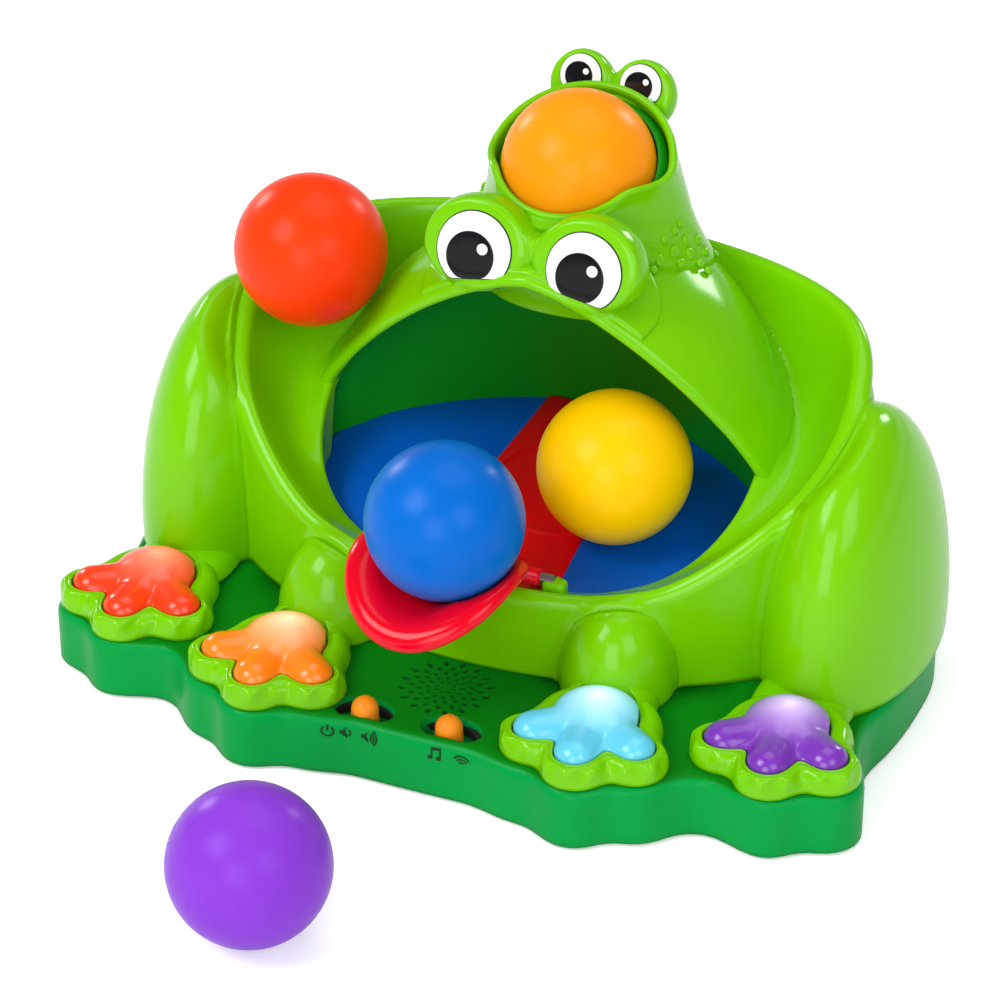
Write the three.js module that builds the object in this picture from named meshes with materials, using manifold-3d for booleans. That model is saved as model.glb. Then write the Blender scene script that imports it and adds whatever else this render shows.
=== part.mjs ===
// Ball popper toy in the shape of a sitting frog, with a small frog on its back.
// Lengths are millimetres, Z is up, the toy looks along -Y, and the ground is at zero.
import * as THREE from 'three';
import { mergeVertices } from 'three/addons/utils/BufferGeometryUtils.js';
import Module from 'manifold-3d';

const wasm = await Module();
wasm.setup();

// Clearances and walls
const seatGap = 0.3;
const slideGap = 0.8;
const cutOverrun = 4;
const shellWall = 2.6;

// Balls
const ballRadius = 30;
const ballRings = 10;
const ballSegments = 16;

// Base housing, with the toes of the four feet scalloped into its outline
const footHeight = 1.5;
const baseHeight = 26;
const baseHalfWidth = 160;
const baseFrontDepth = 128;
const baseBackDepth = 83;
const baseEdgeChamfer = 2.5;
const baseCentreY = 40;
const baseWall = 2.6;
const baseSquareness = 2.5;
const baseFrontSquareness = 2.6;
const baseSegments = 84;
const baseFrontY = baseCentreY - baseFrontDepth;
const baseBackY = baseCentreY + baseBackDepth;

// Body shell: the tub with its haunches and forelegs
const tubHalfWidth = 129;
const tubFrontDepth = 75;
const tubBackDepth = 80;
const tubSquareness = 2.3;
const rimHeight = 145;
const rimRadius = 4.5;
const mouthHalfWidth = 88;
const mouthFrontDepth = 63;
const mouthBackDepth = 64;
const bodySegments = 44;
const lipShare = 0.424;
const lipZ = rimHeight * lipShare;
const tubFrontY = baseCentreY - tubFrontDepth;

// Haunches
const haunchOut = 1;
const haunchX = tubHalfWidth + haunchOut;
const haunchBack = 2;
const haunchY = baseCentreY + haunchBack;
const haunchZ = 34;
const haunchHalfWidth = 31;
const haunchHalfDepth = 60;
const haunchHalfHeight = 90;

// Forelegs
const forelegX = 61;
const forelegBack = 13;
const forelegY = tubFrontY + forelegBack;
const forelegZ = 30;
const forelegHalfWidth = 21;
const forelegHalfDepth = 21;
const forelegHalfHeight = 37;

// Mouth liner, a dome over the floor of the mouth
const domeForward = 10;
const domeY = baseCentreY - domeForward;
const domeLift = 2.52;
const domeZ = lipZ + domeLift;
const domeHalfWidth = 86;
const domeDepth = 72;
const domeHeight = 83;
const linerWall = 2.2;

// Floor of the mouth, sloping down to the tongue
const floorDrop = 7.48;
const floorFrontZ = lipZ - floorDrop;
const floorRise = 13;
const floorBackZ = floorFrontZ + floorRise;
const floorThickness = 2.4;
const bandHalfWidth = 25;
const bandFlare = 12;
const bandRise = 1.2;
const floorReach = 1.6;

// Face: lofted arches from the upper lip back to the small frog
const faceForward = 14;
const faceFrontY = baseCentreY - faceForward;
const faceDepth = 88;
const faceBackY = faceFrontY + faceDepth;
const faceRise = 21;
const faceHeight = rimHeight + faceRise;
const faceHalfWidth = 93;
const faceWall = 3;
const lipDepth = 9;
const facePinch = 1.8;
const faceBackPinch = 2.4;
const archSegments = 18;

// Brow cap with the two eye bumps
const browX = 22.5;
const browBack = 8;
const browY = faceFrontY + browBack;
const browRise = 5;
const browZ = faceHeight + browRise;
const eyeRadius = 15.2;
const eyeThickness = 1.4;
const pupilRadius = 9.8;
const pupilThickness = 0.9;
const browHalfWidth = 19.5;
const browHalfDepth = 21;
const browHalfHeight = 20.5;
const browCapDrop = 12;
const bigEyeX = 22.3;
const bigEyeForward = 7;
const bigEyeY = browY - bigEyeForward;
const bigEyeZ = browZ;
const bigEyeTilt = 0.3;
const pupilDropShare = 0.2;

// Small frog
const smallMouthForward = 38;
const smallMouthY = faceBackY - smallMouthForward;
const smallMouthRise = 20;
const smallMouthZ = faceHeight + smallMouthRise;
const smallMouthTilt = 0.58;
const smallMouthRadius = 35;
const smallRimWall = 3.2;
const smallFootForward = 28;
const smallFootY = faceBackY - smallFootForward;
const smallFrogBow = 2.5;
const smallFrogHeight = 48;
const smallFootZ = smallMouthZ - smallFrogHeight;
const smallFootHalfWidth = 47;
const smallFootHalfDepth = 32;
const smallEyeX = 13;
const smallEyeBack = 34;
const smallEyeY = smallMouthY + smallEyeBack;
const smallEyeRise = 17;
const smallEyeZ = smallMouthZ + smallEyeRise;
const smallEyeBump = 12;
const smallEyeRadius = 8.6;
const smallPupilRadius = 5.6;
const frogSegments = 20;
const smallEyeSink = 4;
const smallEyeDiscY = smallEyeY - smallEyeSink;
const smallEyeTilt = 0.35;

// Launch cup under the small frog's mouth
const cupRadius = 30.6;
const cupWall = 1.6;
const cupNozzle = 12;

// Paws: a palm with three toes, on a lime plate over a lobe of the base
const outerPawInset = 29;
const outerPawX = baseHalfWidth - outerPawInset;
const outerPawBack = 50;
const outerPawY = baseFrontY + outerPawBack;
const pawSpacing = 67;
const innerPawX = outerPawX - pawSpacing;
const innerPawBack = 28;
const innerPawY = baseFrontY + innerPawBack;
const toeAngles = [-33, -87, -141];
const toeDistance = 24;
const buttonToeRadius = 7.5;
const buttonPalmRadius = 15.5;
const plateToeRadius = 12.5;
const platePalmRadius = 24.5;
const lobeToeRadius = 14.5;
const lobePalmRadius = 27;
const plateHeight = 9;
const plateFloor = 2;
const plateChamfer = 2.5;
const pawSegments = 30;
const buttonRise = 7;
const buttonTravel = 3;
const buttonWall = 2;
const stemRadius = 4;

// Tongue lever
const tongueHalfWidth = 33;
const tongueThickness = 7;
const tonguePinRadius = 2;
const tongueForward = 18;
const tongueY = tubFrontY - tongueForward;
const tongueHalfLength = 34;
const tongueRootLength = 31;
const tongueLift = 2.12;
const tongueFootZ = lipZ + tongueLift;
const tongueRise = 9.4;
const tongueTopZ = tongueFootZ + tongueRise;
const dishHalfWidth = 32;
const dishHalfLength = 33;
const dishHalfHeight = 11;
const dishLift = 8;
const barrelRadius = 4;
const barrelHalfLength = 27;
const pinBack = 12;
const pinY = tubFrontY + pinBack;
const pinLift = 2.92;
const pinZ = lipZ + pinLift;
const lugWidth = 4;
const lugHalfDepth = 4;
const lugDrop = 8;

// Switches on the front of the deck
const powerSwitchX = -22;
const powerSwitchBack = 10;
const powerSwitchY = baseFrontY + powerSwitchBack;
const soundSwitchX = 12;
const soundSwitchBack = 11;
const soundSwitchY = baseFrontY + soundSwitchBack;
const knobRadius = 4.6;
const knobStem = 5;
const knobTravel = 4.5;
const slotEndRoom = 4;
const slotHalfWidth = knobTravel + knobStem / 2 + slotEndRoom;
const slotHalfDepth = 5.6;
const slotSink = 5;

// Speaker
const speakerX = 0;
const speakerBack = 35;
const speakerY = baseFrontY + speakerBack;
const speakerRadius = 17;
const speakerDepth = 9;
const speakerHole = 1.4;
const speakerPitch = 5;

// Power
const cellRadius = 13;
const cellLength = 50;
const cellCount = 3;
const cellPitch = 28;
const cellX = -72;
const cellBack = 22;
const cellY = baseCentreY + cellBack;
const doorThickness = 2.2;

// Blower
const blowerX = 42;
const blowerBack = 12;
const blowerY = baseCentreY + blowerBack;
const blowerRadius = 34;
const blowerHeight = 30;
const blowerWall = 2;
const blowerInlet = 12;
const blowerZ = 14;
const impellerRadius = 28;
const impellerHeight = 20;
const impellerBlades = 9;
const impellerHub = 7;
const bladeThickness = 1.6;
const motorRadius = 12;
const motorLength = 9;
const shaftRadius = 1.2;

// Bottom cover, its pads and the cell tray
const coverInset = 1;
const padInset = 42;
const padX = baseHalfWidth - padInset;
const padFrontY = outerPawY - coverInset * 2;
const padBackInset = 64;
const padBackX = baseHalfWidth - padBackInset;
const padBackMargin = 31;
const padBackY = baseBackY - padBackMargin;
const coverThickness = 2.4;
const padRadius = 9;
const cellTrayWall = 2;

// Circuit board
const boardX = 86;
const boardBack = 2;
const boardY = baseCentreY + boardBack;
const boardWidth = 34;
const boardDepth = 60;
const boardThickness = 1.6;
const boardLift = 4;
const postRadius = 3;
const postInset = 5;

// Lamps and button switches
const lampRadius = 2.5;
const lampHeight = 4;
const lampOffset = 9;
const switchHalfWidth = 7;

// Switch block
const blockDepth = 12;
const blockMargin = 3;
const blockSideGap = 0.8;

// Air duct
const ductHalfWidth = 17;
const ductHalfDepth = 3.6;
const ductWall = 1.2;
const ductBackInset = 7.6;
const ductBackY = baseCentreY + tubBackDepth - ductBackInset;
const ductTopBack = 16;
const ductTopY = smallMouthY + ductTopBack;
const ductTopDrop = 36;
const ductTopZ = smallMouthZ - ductTopDrop;
const ductLift = 4;
const ductFootZ = baseHeight + ductLift;

// Balls where they rest
const yellowX = 37;
const yellowForward = 16;
const yellowY = baseCentreY - yellowForward;
const redInset = 31.2;
const redX = redInset - tubHalfWidth;
const redBack = 1;
const redY = baseCentreY + redBack;
const redLift = 1.6;
const redZ = rimHeight + redLift;
const purpleX = -17;
const purpleForward = 99;
const purpleY = baseFrontY - purpleForward;

const lime = { color: 0x74cc0a, roughness: 0.28, metalness: 0 };
const deckGreen = { color: 0x0a8a28, roughness: 0.35, metalness: 0 };
const linerGreen = { color: 0x0a7a12, roughness: 0.4, metalness: 0 };

// Turn a closed geometry into a solid for cutting and joining
function solidOf(geometry) {
  const bare = geometry.clone();
  for (const name of Object.keys(bare.attributes)) {
    if (name !== 'position') bare.deleteAttribute(name);
  }
  const merged = mergeVertices(bare, 1e-4);
  const vertProperties = Float32Array.from(merged.attributes.position.array);
  const triVerts = Uint32Array.from(merged.index.array);
  return new wasm.Manifold(new wasm.Mesh({ numProp: 3, vertProperties, triVerts }));
}

// Turn a solid back into a geometry
function geometryOf(solid) {
  const mesh = solid.getMesh();
  const step = mesh.numProp;
  const count = mesh.vertProperties.length / step;
  const points = new Float32Array(count * 3);
  for (let i = 0; i < count; i += 1) {
    for (let k = 0; k < 3; k += 1) points[i * 3 + k] = mesh.vertProperties[i * step + k];
  }
  const geometry = new THREE.BufferGeometry();
  geometry.setAttribute('position', new THREE.BufferAttribute(points, 3));
  geometry.setIndex(new THREE.BufferAttribute(Uint32Array.from(mesh.triVerts), 1));
  geometry.computeVertexNormals();
  return geometry;
}

// Join rings of equally many points into one closed skin
// A looped skin joins its last ring to its first, and any other has a flat cap at each end
function loft(rings, looped = false) {
  const around = rings[0].length;
  const points = rings.flat().flatMap((p) => [p.x, p.y, p.z]);
  const faces = [];
  const last = looped ? rings.length : rings.length - 1;
  for (let i = 0; i < last; i += 1) {
    const here = i * around;
    const next = ((i + 1) % rings.length) * around;
    for (let j = 0; j < around; j += 1) {
      const k = (j + 1) % around;
      faces.push(here + j, here + k, next + k, here + j, next + k, next + j);
    }
  }
  if (!looped) {
    capRing(rings[0], 0, true, points, faces);
    capRing(rings[rings.length - 1], (rings.length - 1) * around, false, points, faces);
  }
  return outwards(points, faces);
}

function capRing(ring, start, first, points, faces) {
  const middle = new THREE.Vector3();
  for (const p of ring) middle.add(p);
  middle.divideScalar(ring.length);
  const hub = points.length / 3;
  points.push(middle.x, middle.y, middle.z);
  for (let j = 0; j < ring.length; j += 1) {
    const k = (j + 1) % ring.length;
    if (first) faces.push(hub, start + k, start + j);
    else faces.push(hub, start + j, start + k);
  }
}

// Build a geometry whose faces point out, whichever way its rings were listed
function outwards(points, faces) {
  let volume = 0;
  const at = (i) => new THREE.Vector3(points[i * 3], points[i * 3 + 1], points[i * 3 + 2]);
  for (let i = 0; i < faces.length; i += 3) {
    volume += at(faces[i]).dot(at(faces[i + 1]).cross(at(faces[i + 2])));
  }
  if (volume < 0) faces.reverse();
  const geometry = new THREE.BufferGeometry();
  geometry.setAttribute('position', new THREE.Float32BufferAttribute(points, 3));
  geometry.setIndex(faces);
  geometry.computeVertexNormals();
  return geometry;
}

const vector = (x, y, z) => new THREE.Vector3(x, y, z);
const degrees = THREE.MathUtils.degToRad;
const fullTurn = Math.PI * 2;

// Read a table of [angle in degrees, value] rows with a soft step between rows
function tableValue(rows, angle) {
  const deg = THREE.MathUtils.radToDeg(angle);
  if (deg <= rows[0][0]) return rows[0][1];
  for (let i = 1; i < rows.length; i += 1) {
    if (deg <= rows[i][0]) {
      const [a, low] = rows[i - 1];
      const [b, high] = rows[i];
      return THREE.MathUtils.lerp(low, high, (deg - a) / (b - a));
    }
  }
  return rows[rows.length - 1][1];
}

// Angle above the side of the toy: -90 degrees at the front, 0 at either side, 90 at the back
function frontToBack(angle) {
  return Math.atan2(Math.sin(angle), Math.abs(Math.cos(angle)));
}

// Radius of a rounded oval whose front and back halves have their own depths
function ovalRadius(angle, halfWidth, front, back, frontPower, backPower) {
  const c = Math.abs(Math.cos(angle));
  const s = Math.sin(angle);
  const depth = s < 0 ? front : back;
  const power = s < 0 ? frontPower : backPower;
  return ((c / halfWidth) ** power + (Math.abs(s) / depth) ** power) ** (-1 / power);
}

function tubRadius(angle) {
  return ovalRadius(angle, tubHalfWidth, tubFrontDepth, tubBackDepth, 2, tubSquareness);
}

// Heights round the tub, as shares of the height of its rim, by angle in degrees
const rimShares = [[-90, lipShare], [-55, 0.43], [-38, 0.464], [-30, 0.526], [-20, 0.628],
  [-9, 0.74], [0, 0.85], [9, 0.93], [20, 0.985], [90, 1]];
const mouthEdgeShares = [[-90, 0.398], [-50, 0.404], [-35, 0.417], [-20, 0.43], [-9, 0.44],
  [0, 0.618], [19, 0.734], [40, 0.84], [60, 0.88], [90, 0.9]];
const chuteDipShares = [[-90, 0], [-35, 0.012], [-20, 0.03], [0, 0.06], [20, 0.09], [45, 0.09],
  [90, 0.05]];

function rimZ(angle) {
  return rimHeight * tableValue(rimShares, frontToBack(angle));
}

function mouthRadius(angle) {
  return ovalRadius(angle, mouthHalfWidth, mouthFrontDepth, mouthBackDepth, 2, 2);
}

const deckZ = baseHeight;
const bodyFootZ = deckZ + seatGap;

// Profile of the body at one angle, as radius and height: up the wall, over the rim, down the chute
const wallLevelShares = [0, 0.5, 1];
const rimTurnShares = [0.25, 0.5, 0.75, 1];
const chuteShares = [0.14, 0.32, 0.54, 0.78, 1];

function chutePoint(angle, share) {
  const outer = tubRadius(angle) - rimRadius * 2;
  const inner = mouthRadius(angle);
  const fall = 1 - (1 - share) ** 2;
  const dip = rimHeight * tableValue(chuteDipShares, frontToBack(angle));
  const top = rimZ(angle) - rimRadius;
  const edge = rimHeight * tableValue(mouthEdgeShares, frontToBack(angle));
  const z = THREE.MathUtils.lerp(top, edge, fall) - dip * Math.sin(Math.PI * share);
  return new THREE.Vector2(THREE.MathUtils.lerp(outer, inner, share), z);
}

function bodyProfile(angle) {
  const profile = [];
  const wallTop = rimZ(angle) - rimRadius;
  for (const share of wallLevelShares) {
    const z = THREE.MathUtils.lerp(bodyFootZ, wallTop, share);
    profile.push(new THREE.Vector2(tubRadius(angle), z));
  }
  const hub = tubRadius(angle) - rimRadius;
  for (const share of rimTurnShares) {
    const turn = Math.PI * share;
    profile.push(new THREE.Vector2(
      hub + rimRadius * Math.cos(turn), wallTop + rimRadius * Math.sin(turn)));
  }
  for (const share of chuteShares) profile.push(chutePoint(angle, share));
  return profile;
}

// Step a profile inwards by the wall, square to itself
function innerProfile(profile, wall) {
  return profile.map((point, i) => {
    const before = profile[Math.max(i - 1, 0)];
    const after = profile[Math.min(i + 1, profile.length - 1)];
    const along = after.clone().sub(before).normalize();
    const inner = point.clone().add(new THREE.Vector2(-along.y, along.x).multiplyScalar(wall));
    if (i === 0) inner.y = point.y;
    if (i === profile.length - 1) inner.x = Math.max(inner.x, point.x);
    return inner;
  });
}

// Place a radius and a height at an angle about the tub's centre
function aroundTub(angle, radius, z) {
  return vector(radius * Math.cos(angle), baseCentreY + radius * Math.sin(angle), z);
}

function tubGeometry() {
  const rings = [];
  for (let i = 0; i < bodySegments; i += 1) {
    const angle = fullTurn * i / bodySegments;
    const outer = bodyProfile(angle);
    const inner = innerProfile(outer, shellWall).reverse();
    rings.push([...outer, ...inner].map((p) => aroundTub(angle, p.x, p.y)));
  }
  return loft(rings, true);
}

// A closed ellipsoid about a centre
function ellipsoid(centre, halfWidth, halfDepth, halfHeight, around, tiers) {
  const ball = new THREE.SphereGeometry(1, around, tiers);
  ball.rotateX(Math.PI / 2);
  ball.scale(halfWidth, halfDepth, halfHeight);
  ball.translate(centre.x, centre.y, centre.z);
  return ball;
}

function boxBetween(low, high) {
  const box = new THREE.BoxGeometry(high.x - low.x, high.y - low.y, high.z - low.z);
  box.translate((low.x + high.x) / 2, (low.y + high.y) / 2, (low.z + high.z) / 2);
  return box;
}

// An upright column with a rounded oval section, radius by angle, between two heights
function column(radiusAt, lowZ, highZ, segments) {
  const rings = [lowZ, highZ].map((z) => {
    const ring = [];
    for (let i = 0; i < segments; i += 1) {
      const angle = fullTurn * i / segments;
      ring.push(aroundTub(angle, radiusAt(angle), z));
    }
    return ring;
  });
  return loft(rings);
}

const aboveAll = rimHeight * 2;
const farOut = baseHalfWidth * 2;

function belowCut(z) {
  return solidOf(boxBetween(vector(-farOut, -farOut, -farOut), vector(farOut, farOut, z)));
}

// Hollow bulge on the outside of the tub: a haunch or a foreleg
function limbShell(limb, side) {
  const centre = vector(limb.x * side, limb.y, limb.z);
  const skin = (inset) => solidOf(ellipsoid(centre, limb.halfWidth - inset,
    limb.halfDepth - inset, limb.halfHeight - inset, limb.around, limb.tiers));
  return skin(0).subtract(skin(shellWall));
}

const haunch = {
  x: haunchX, y: haunchY, z: haunchZ, around: 22, tiers: 14,
  halfWidth: haunchHalfWidth, halfDepth: haunchHalfDepth, halfHeight: haunchHalfHeight,
};
const foreleg = {
  x: forelegX, y: forelegY, z: forelegZ, around: 16, tiers: 10,
  halfWidth: forelegHalfWidth, halfDepth: forelegHalfDepth, halfHeight: forelegHalfHeight,
};

function bodyShell() {
  const core = solidOf(column((angle) => tubRadius(angle) - shellWall / 2,
    -aboveAll, aboveAll, bodySegments));
  let body = solidOf(tubGeometry());
  for (const side of [-1, 1]) {
    for (const limb of [haunch, foreleg]) body = body.add(limbShell(limb, side).subtract(core));
  }
  return body.subtract(belowCut(bodyFootZ));
}

// Everything above the chute and inside the rim, and down through the mouth, raised by a gap
function aboveChute(gap) {
  const rings = [];
  const axis = shellWall;
  for (let i = 0; i < bodySegments; i += 1) {
    const angle = fullTurn * i / bodySegments;
    const path = bodyProfile(angle).slice(wallLevelShares.length + rimTurnShares.indexOf(0.5));
    const ring = [[axis, aboveAll], [path[0].x, aboveAll]];
    ring.push(...path.map((p) => [p.x, p.y + gap]));
    ring.push([mouthRadius(angle), deckZ], [axis, deckZ]);
    rings.push(ring.map(([radius, z]) => aroundTub(angle, radius, z)));
  }
  const core = column(() => axis * 2, deckZ, aboveAll, bodySegments);
  return solidOf(loft(rings, true)).add(solidOf(core));
}

// Face: arches along Y, as shares of the face's half width and height by share of its depth
const faceWidthShares = [[0, 1], [0.24, 1.06], [0.48, 1.05], [0.75, 0.93], [1, 0.7]];
const faceTopShares = [[0, 0.925], [0.15, 0.985], [0.35, 1], [0.7, 0.985], [1, 0.93]];
const faceTierShares = [0, 0.06, 0.18, 0.34, 0.5, 0.66, 0.82, 1];

// Read a table of [share, value] rows
function shareValue(rows, share) {
  return tableValue(rows, degrees(share));
}

// Round a turn of a circle into a pinched or a squared arch
function pinched(value, power) {
  return Math.sign(value) * Math.abs(value) ** (2 / power);
}

function faceArch(share, inset, stretch) {
  const power = THREE.MathUtils.lerp(facePinch, faceBackPinch, share);
  const halfWidth = faceHalfWidth * shareValue(faceWidthShares, share) - inset;
  const height = faceHeight * shareValue(faceTopShares, share) - domeZ - inset;
  const y = THREE.MathUtils.lerp(faceFrontY, faceBackY, share) + stretch;
  const ring = [];
  for (let i = 0; i <= archSegments; i += 1) {
    const turn = Math.PI * i / archSegments;
    ring.push(vector(halfWidth * pinched(Math.cos(turn), power), y,
      domeZ + height * pinched(Math.sin(turn), power)));
  }
  return ring;
}

function faceBlock(inset, frontStretch) {
  return solidOf(loft(faceTierShares.map((share) => {
    if (share === 0) return faceArch(share, inset, frontStretch);
    return faceArch(share, inset, share === 1 ? -inset : 0);
  })));
}

// The dome over the mouth: an ellipsoid whose front arch is pinched towards its corners
function domeSolid(grow) {
  const dome = ellipsoid(vector(0, 0, 0), 1, 1, 1, 24, 16);
  const at = dome.attributes.position;
  for (let i = 0; i < at.count; i += 1) {
    at.setX(i, (domeHalfWidth + grow) * pinched(at.getX(i), facePinch));
    at.setY(i, domeY + (domeDepth + grow) * at.getY(i));
    at.setZ(i, domeZ + (domeHeight + grow) * pinched(at.getZ(i), facePinch));
  }
  return solidOf(dome);
}

function inFrontOf(y) {
  return solidOf(boxBetween(vector(-farOut, -farOut, -farOut), vector(farOut, y, aboveAll)));
}

function behind(y) {
  return solidOf(boxBetween(vector(-farOut, y, -farOut), vector(farOut, farOut, aboveAll)));
}

function faceShell() {
  const hollow = faceBlock(faceWall, lipDepth);
  const dome = domeSolid(linerWall + seatGap);
  return faceBlock(0, 0).subtract(hollow).subtract(dome).subtract(smallFrogBlock(seatGap))
    .intersect(aboveChute(seatGap));
}

function mouthLiner() {
  const shell = domeSolid(linerWall).subtract(domeSolid(0));
  const floor = solidOf(floorSlab(mouthHalfWidth, seatGap, farOut));
  return shell.subtract(inFrontOf(faceFrontY + lipDepth)).subtract(floor)
    .subtract(bandSolid(seatGap));
}

// Floor of the mouth: a tilted slab under the edge of the mouth
function floorZ(y) {
  const frontY = baseCentreY - mouthFrontDepth;
  const share = (y - frontY) / (mouthFrontDepth + mouthBackDepth);
  return THREE.MathUtils.lerp(floorFrontZ, floorBackZ, share);
}

function floorSlab(grow, gap, thickness) {
  const rings = [-thickness, gap].map((lift) => {
    const ring = [];
    for (let i = 0; i < bodySegments; i += 1) {
      const angle = fullTurn * i / bodySegments;
      const p = aroundTub(angle, mouthRadius(angle) + grow, 0);
      ring.push(vector(p.x, p.y, floorZ(p.y) + lift));
    }
    return ring;
  });
  return loft(rings);
}

// Red band from the back of the floor to the tongue, lying on the blue
function bandOutline(y) {
  const share = (y - baseCentreY + mouthFrontDepth) / (mouthFrontDepth + mouthBackDepth);
  return bandHalfWidth + bandFlare * (share * 2 - 1) ** 2;
}

// Small frog: rings that rise from its foot and turn into the tilted mouth
const frogTierShares = [0, 0.2, 0.4, 0.6, 0.8, 1];

function frogRing(share, inset) {
  const ease = share * share * (3 - 2 * share);
  const halfWidth = THREE.MathUtils.lerp(smallFootHalfWidth, smallMouthRadius + smallRimWall, ease);
  const halfDepth = THREE.MathUtils.lerp(smallFootHalfDepth, smallMouthRadius + smallRimWall, ease);
  const tilt = smallMouthTilt * share;
  const y = THREE.MathUtils.lerp(smallFootY, smallMouthY, share)
    + smallFrogBow * Math.sin(Math.PI * share);
  const z = THREE.MathUtils.lerp(smallFootZ, smallMouthZ, share);
  const ring = [];
  for (let i = 0; i < frogSegments; i += 1) {
    const turn = fullTurn * i / frogSegments;
    const across = (halfWidth - inset) * Math.cos(turn);
    const along = (halfDepth - inset) * Math.sin(turn);
    ring.push(vector(across, y + along * Math.cos(tilt), z + along * Math.sin(tilt)));
  }
  return ring;
}

function smallFrogBlock(grow) {
  return solidOf(loft(frogTierShares.map((share) => frogRing(share, -grow))));
}

// Base outline: an oval that swells over the toes of the four feet
const paws = [
  { name: 'red', x: -outerPawX, y: outerPawY, color: 0xff4a1c, glow: 0xff8060 },
  { name: 'orange', x: -innerPawX, y: innerPawY, color: 0xff8a1c, glow: 0xffc080 },
  { name: 'blue', x: innerPawX, y: innerPawY, color: 0x4cc4ec, glow: 0xc0f0ff },
  { name: 'purple', x: outerPawX, y: outerPawY, color: 0x8238a8, glow: 0xe0b0ff },
];

// Distance along a ray to the far side of a circle, or zero when the ray misses it
function circleReach(fromX, fromY, angle, x, y, radius) {
  const along = (x - fromX) * Math.cos(angle) + (y - fromY) * Math.sin(angle);
  const away = (x - fromX) ** 2 + (y - fromY) ** 2 - along * along;
  if (along <= 0 && away + along * along > radius * radius) return 0;
  return away > radius * radius ? 0 : along + Math.sqrt(radius * radius - away);
}

function toePlaces(paw) {
  return toeAngles.map((deg) => {
    const angle = degrees(paw.x > 0 ? deg : -180 - deg);
    return [paw.x + toeDistance * Math.cos(angle), paw.y + toeDistance * Math.sin(angle)];
  });
}

function pawRadius(paw, angle, palm, toe) {
  let radius = circleReach(paw.x, paw.y, angle, paw.x, paw.y, palm);
  for (const [x, y] of toePlaces(paw)) {
    radius = Math.max(radius, circleReach(paw.x, paw.y, angle, x, y, toe));
  }
  return radius;
}

function pawRing(paw, palm, toe, z) {
  const ring = [];
  for (let i = 0; i < pawSegments; i += 1) {
    const angle = fullTurn * i / pawSegments;
    const radius = pawRadius(paw, angle, palm, toe);
    ring.push(vector(paw.x + radius * Math.cos(angle), paw.y + radius * Math.sin(angle), z));
  }
  return ring;
}

function baseReach(angle) {
  let radius = ovalRadius(angle, baseHalfWidth, baseFrontDepth, baseBackDepth,
    baseFrontSquareness, baseSquareness);
  for (const paw of paws) {
    radius = Math.max(radius,
      circleReach(0, baseCentreY, angle, paw.x, paw.y, lobePalmRadius));
    for (const [x, y] of toePlaces(paw)) {
      radius = Math.max(radius, circleReach(0, baseCentreY, angle, x, y, lobeToeRadius));
    }
  }
  return radius;
}

// The outline's radius, averaged over a small turn so that the toes and notches are rounded
function baseRadius(angle) {
  const turn = fullTurn / baseSegments;
  const around = [-1, 0, 1].map((step) => baseReach(angle + step * turn));
  return around.reduce((sum, radius) => sum + radius) / around.length;
}

function baseRing(inset, z) {
  const ring = [];
  for (let i = 0; i < baseSegments; i += 1) {
    const angle = fullTurn * i / baseSegments;
    ring.push(aroundTub(angle, baseRadius(angle) - inset, z));
  }
  return ring;
}

const housingFootZ = footHeight;
const coverZ = housingFootZ + coverInset;

function upright(x, y, radius, lowZ, highZ, around = 20) {
  const rod = new THREE.CylinderGeometry(radius, radius, highZ - lowZ, around);
  rod.rotateX(Math.PI / 2);
  rod.translate(x, y, (lowZ + highZ) / 2);
  return rod;
}

function slotCut(x, y, halfWidth, halfDepth, lowZ, highZ) {
  const shape = new THREE.Shape();
  shape.absellipse(0, 0, halfWidth, halfDepth, 0, fullTurn);
  const block = new THREE.ExtrudeGeometry(shape, {
    depth: highZ - lowZ, bevelEnabled: false, curveSegments: 12,
  });
  block.translate(x, y, lowZ);
  return block;
}

function speakerHoles() {
  const places = [];
  const rows = Math.floor(speakerRadius * 0.85 / speakerPitch);
  for (let ring = 1; ring <= rows; ring += 1) {
    for (let k = 0; k < ring * 5; k += 1) {
      const turn = fullTurn * k / (ring * 5);
      places.push([speakerX + ring * speakerPitch * Math.cos(turn),
        speakerY + ring * speakerPitch * Math.sin(turn)]);
    }
  }
  return places;
}

// Inside of the housing, drawn in by a gap
function housingHollow(inset) {
  return solidOf(loft([baseRing(baseWall + inset, housingFootZ - cutOverrun),
    baseRing(baseWall + inset, deckZ - baseWall - baseEdgeChamfer / 4),
    baseRing(baseWall + baseEdgeChamfer + inset, deckZ - baseWall)]));
}

function baseHousing() {
  const top = baseHeight - baseEdgeChamfer;
  const outer = loft([baseRing(0, housingFootZ), baseRing(0, top),
    baseRing(baseEdgeChamfer / 2, deckZ - baseEdgeChamfer / 4), baseRing(baseEdgeChamfer, deckZ)]);
  let housing = solidOf(outer).subtract(housingHollow(0));
  housing = housing.subtract(solidOf(column((angle) => tubRadius(angle) - shellWall * 2,
    deckZ - baseWall - cutOverrun, deckZ + cutOverrun, bodySegments / 2)));
  for (const paw of paws) {
    housing = housing.subtract(solidOf(upright(paw.x, paw.y, stemRadius + slideGap,
      deckZ - cutOverrun, deckZ + cutOverrun)));
  }
  for (const [x, y] of [[powerSwitchX, powerSwitchY], [soundSwitchX, soundSwitchY]]) {
    housing = housing.subtract(solidOf(slotCut(x, y, slotHalfWidth, slotHalfDepth,
      deckZ - cutOverrun, deckZ + cutOverrun)));
  }
  for (const [x, y] of speakerHoles()) {
    housing = housing.subtract(solidOf(upright(x, y, speakerHole,
      deckZ - cutOverrun, deckZ + cutOverrun, 5)));
  }
  return housing;
}

const coverTop = coverZ + coverThickness;
function padPlaces() {
  return [[-padX, padFrontY], [padX, padFrontY], [-padBackX, padBackY], [padBackX, padBackY]];
}

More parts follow.
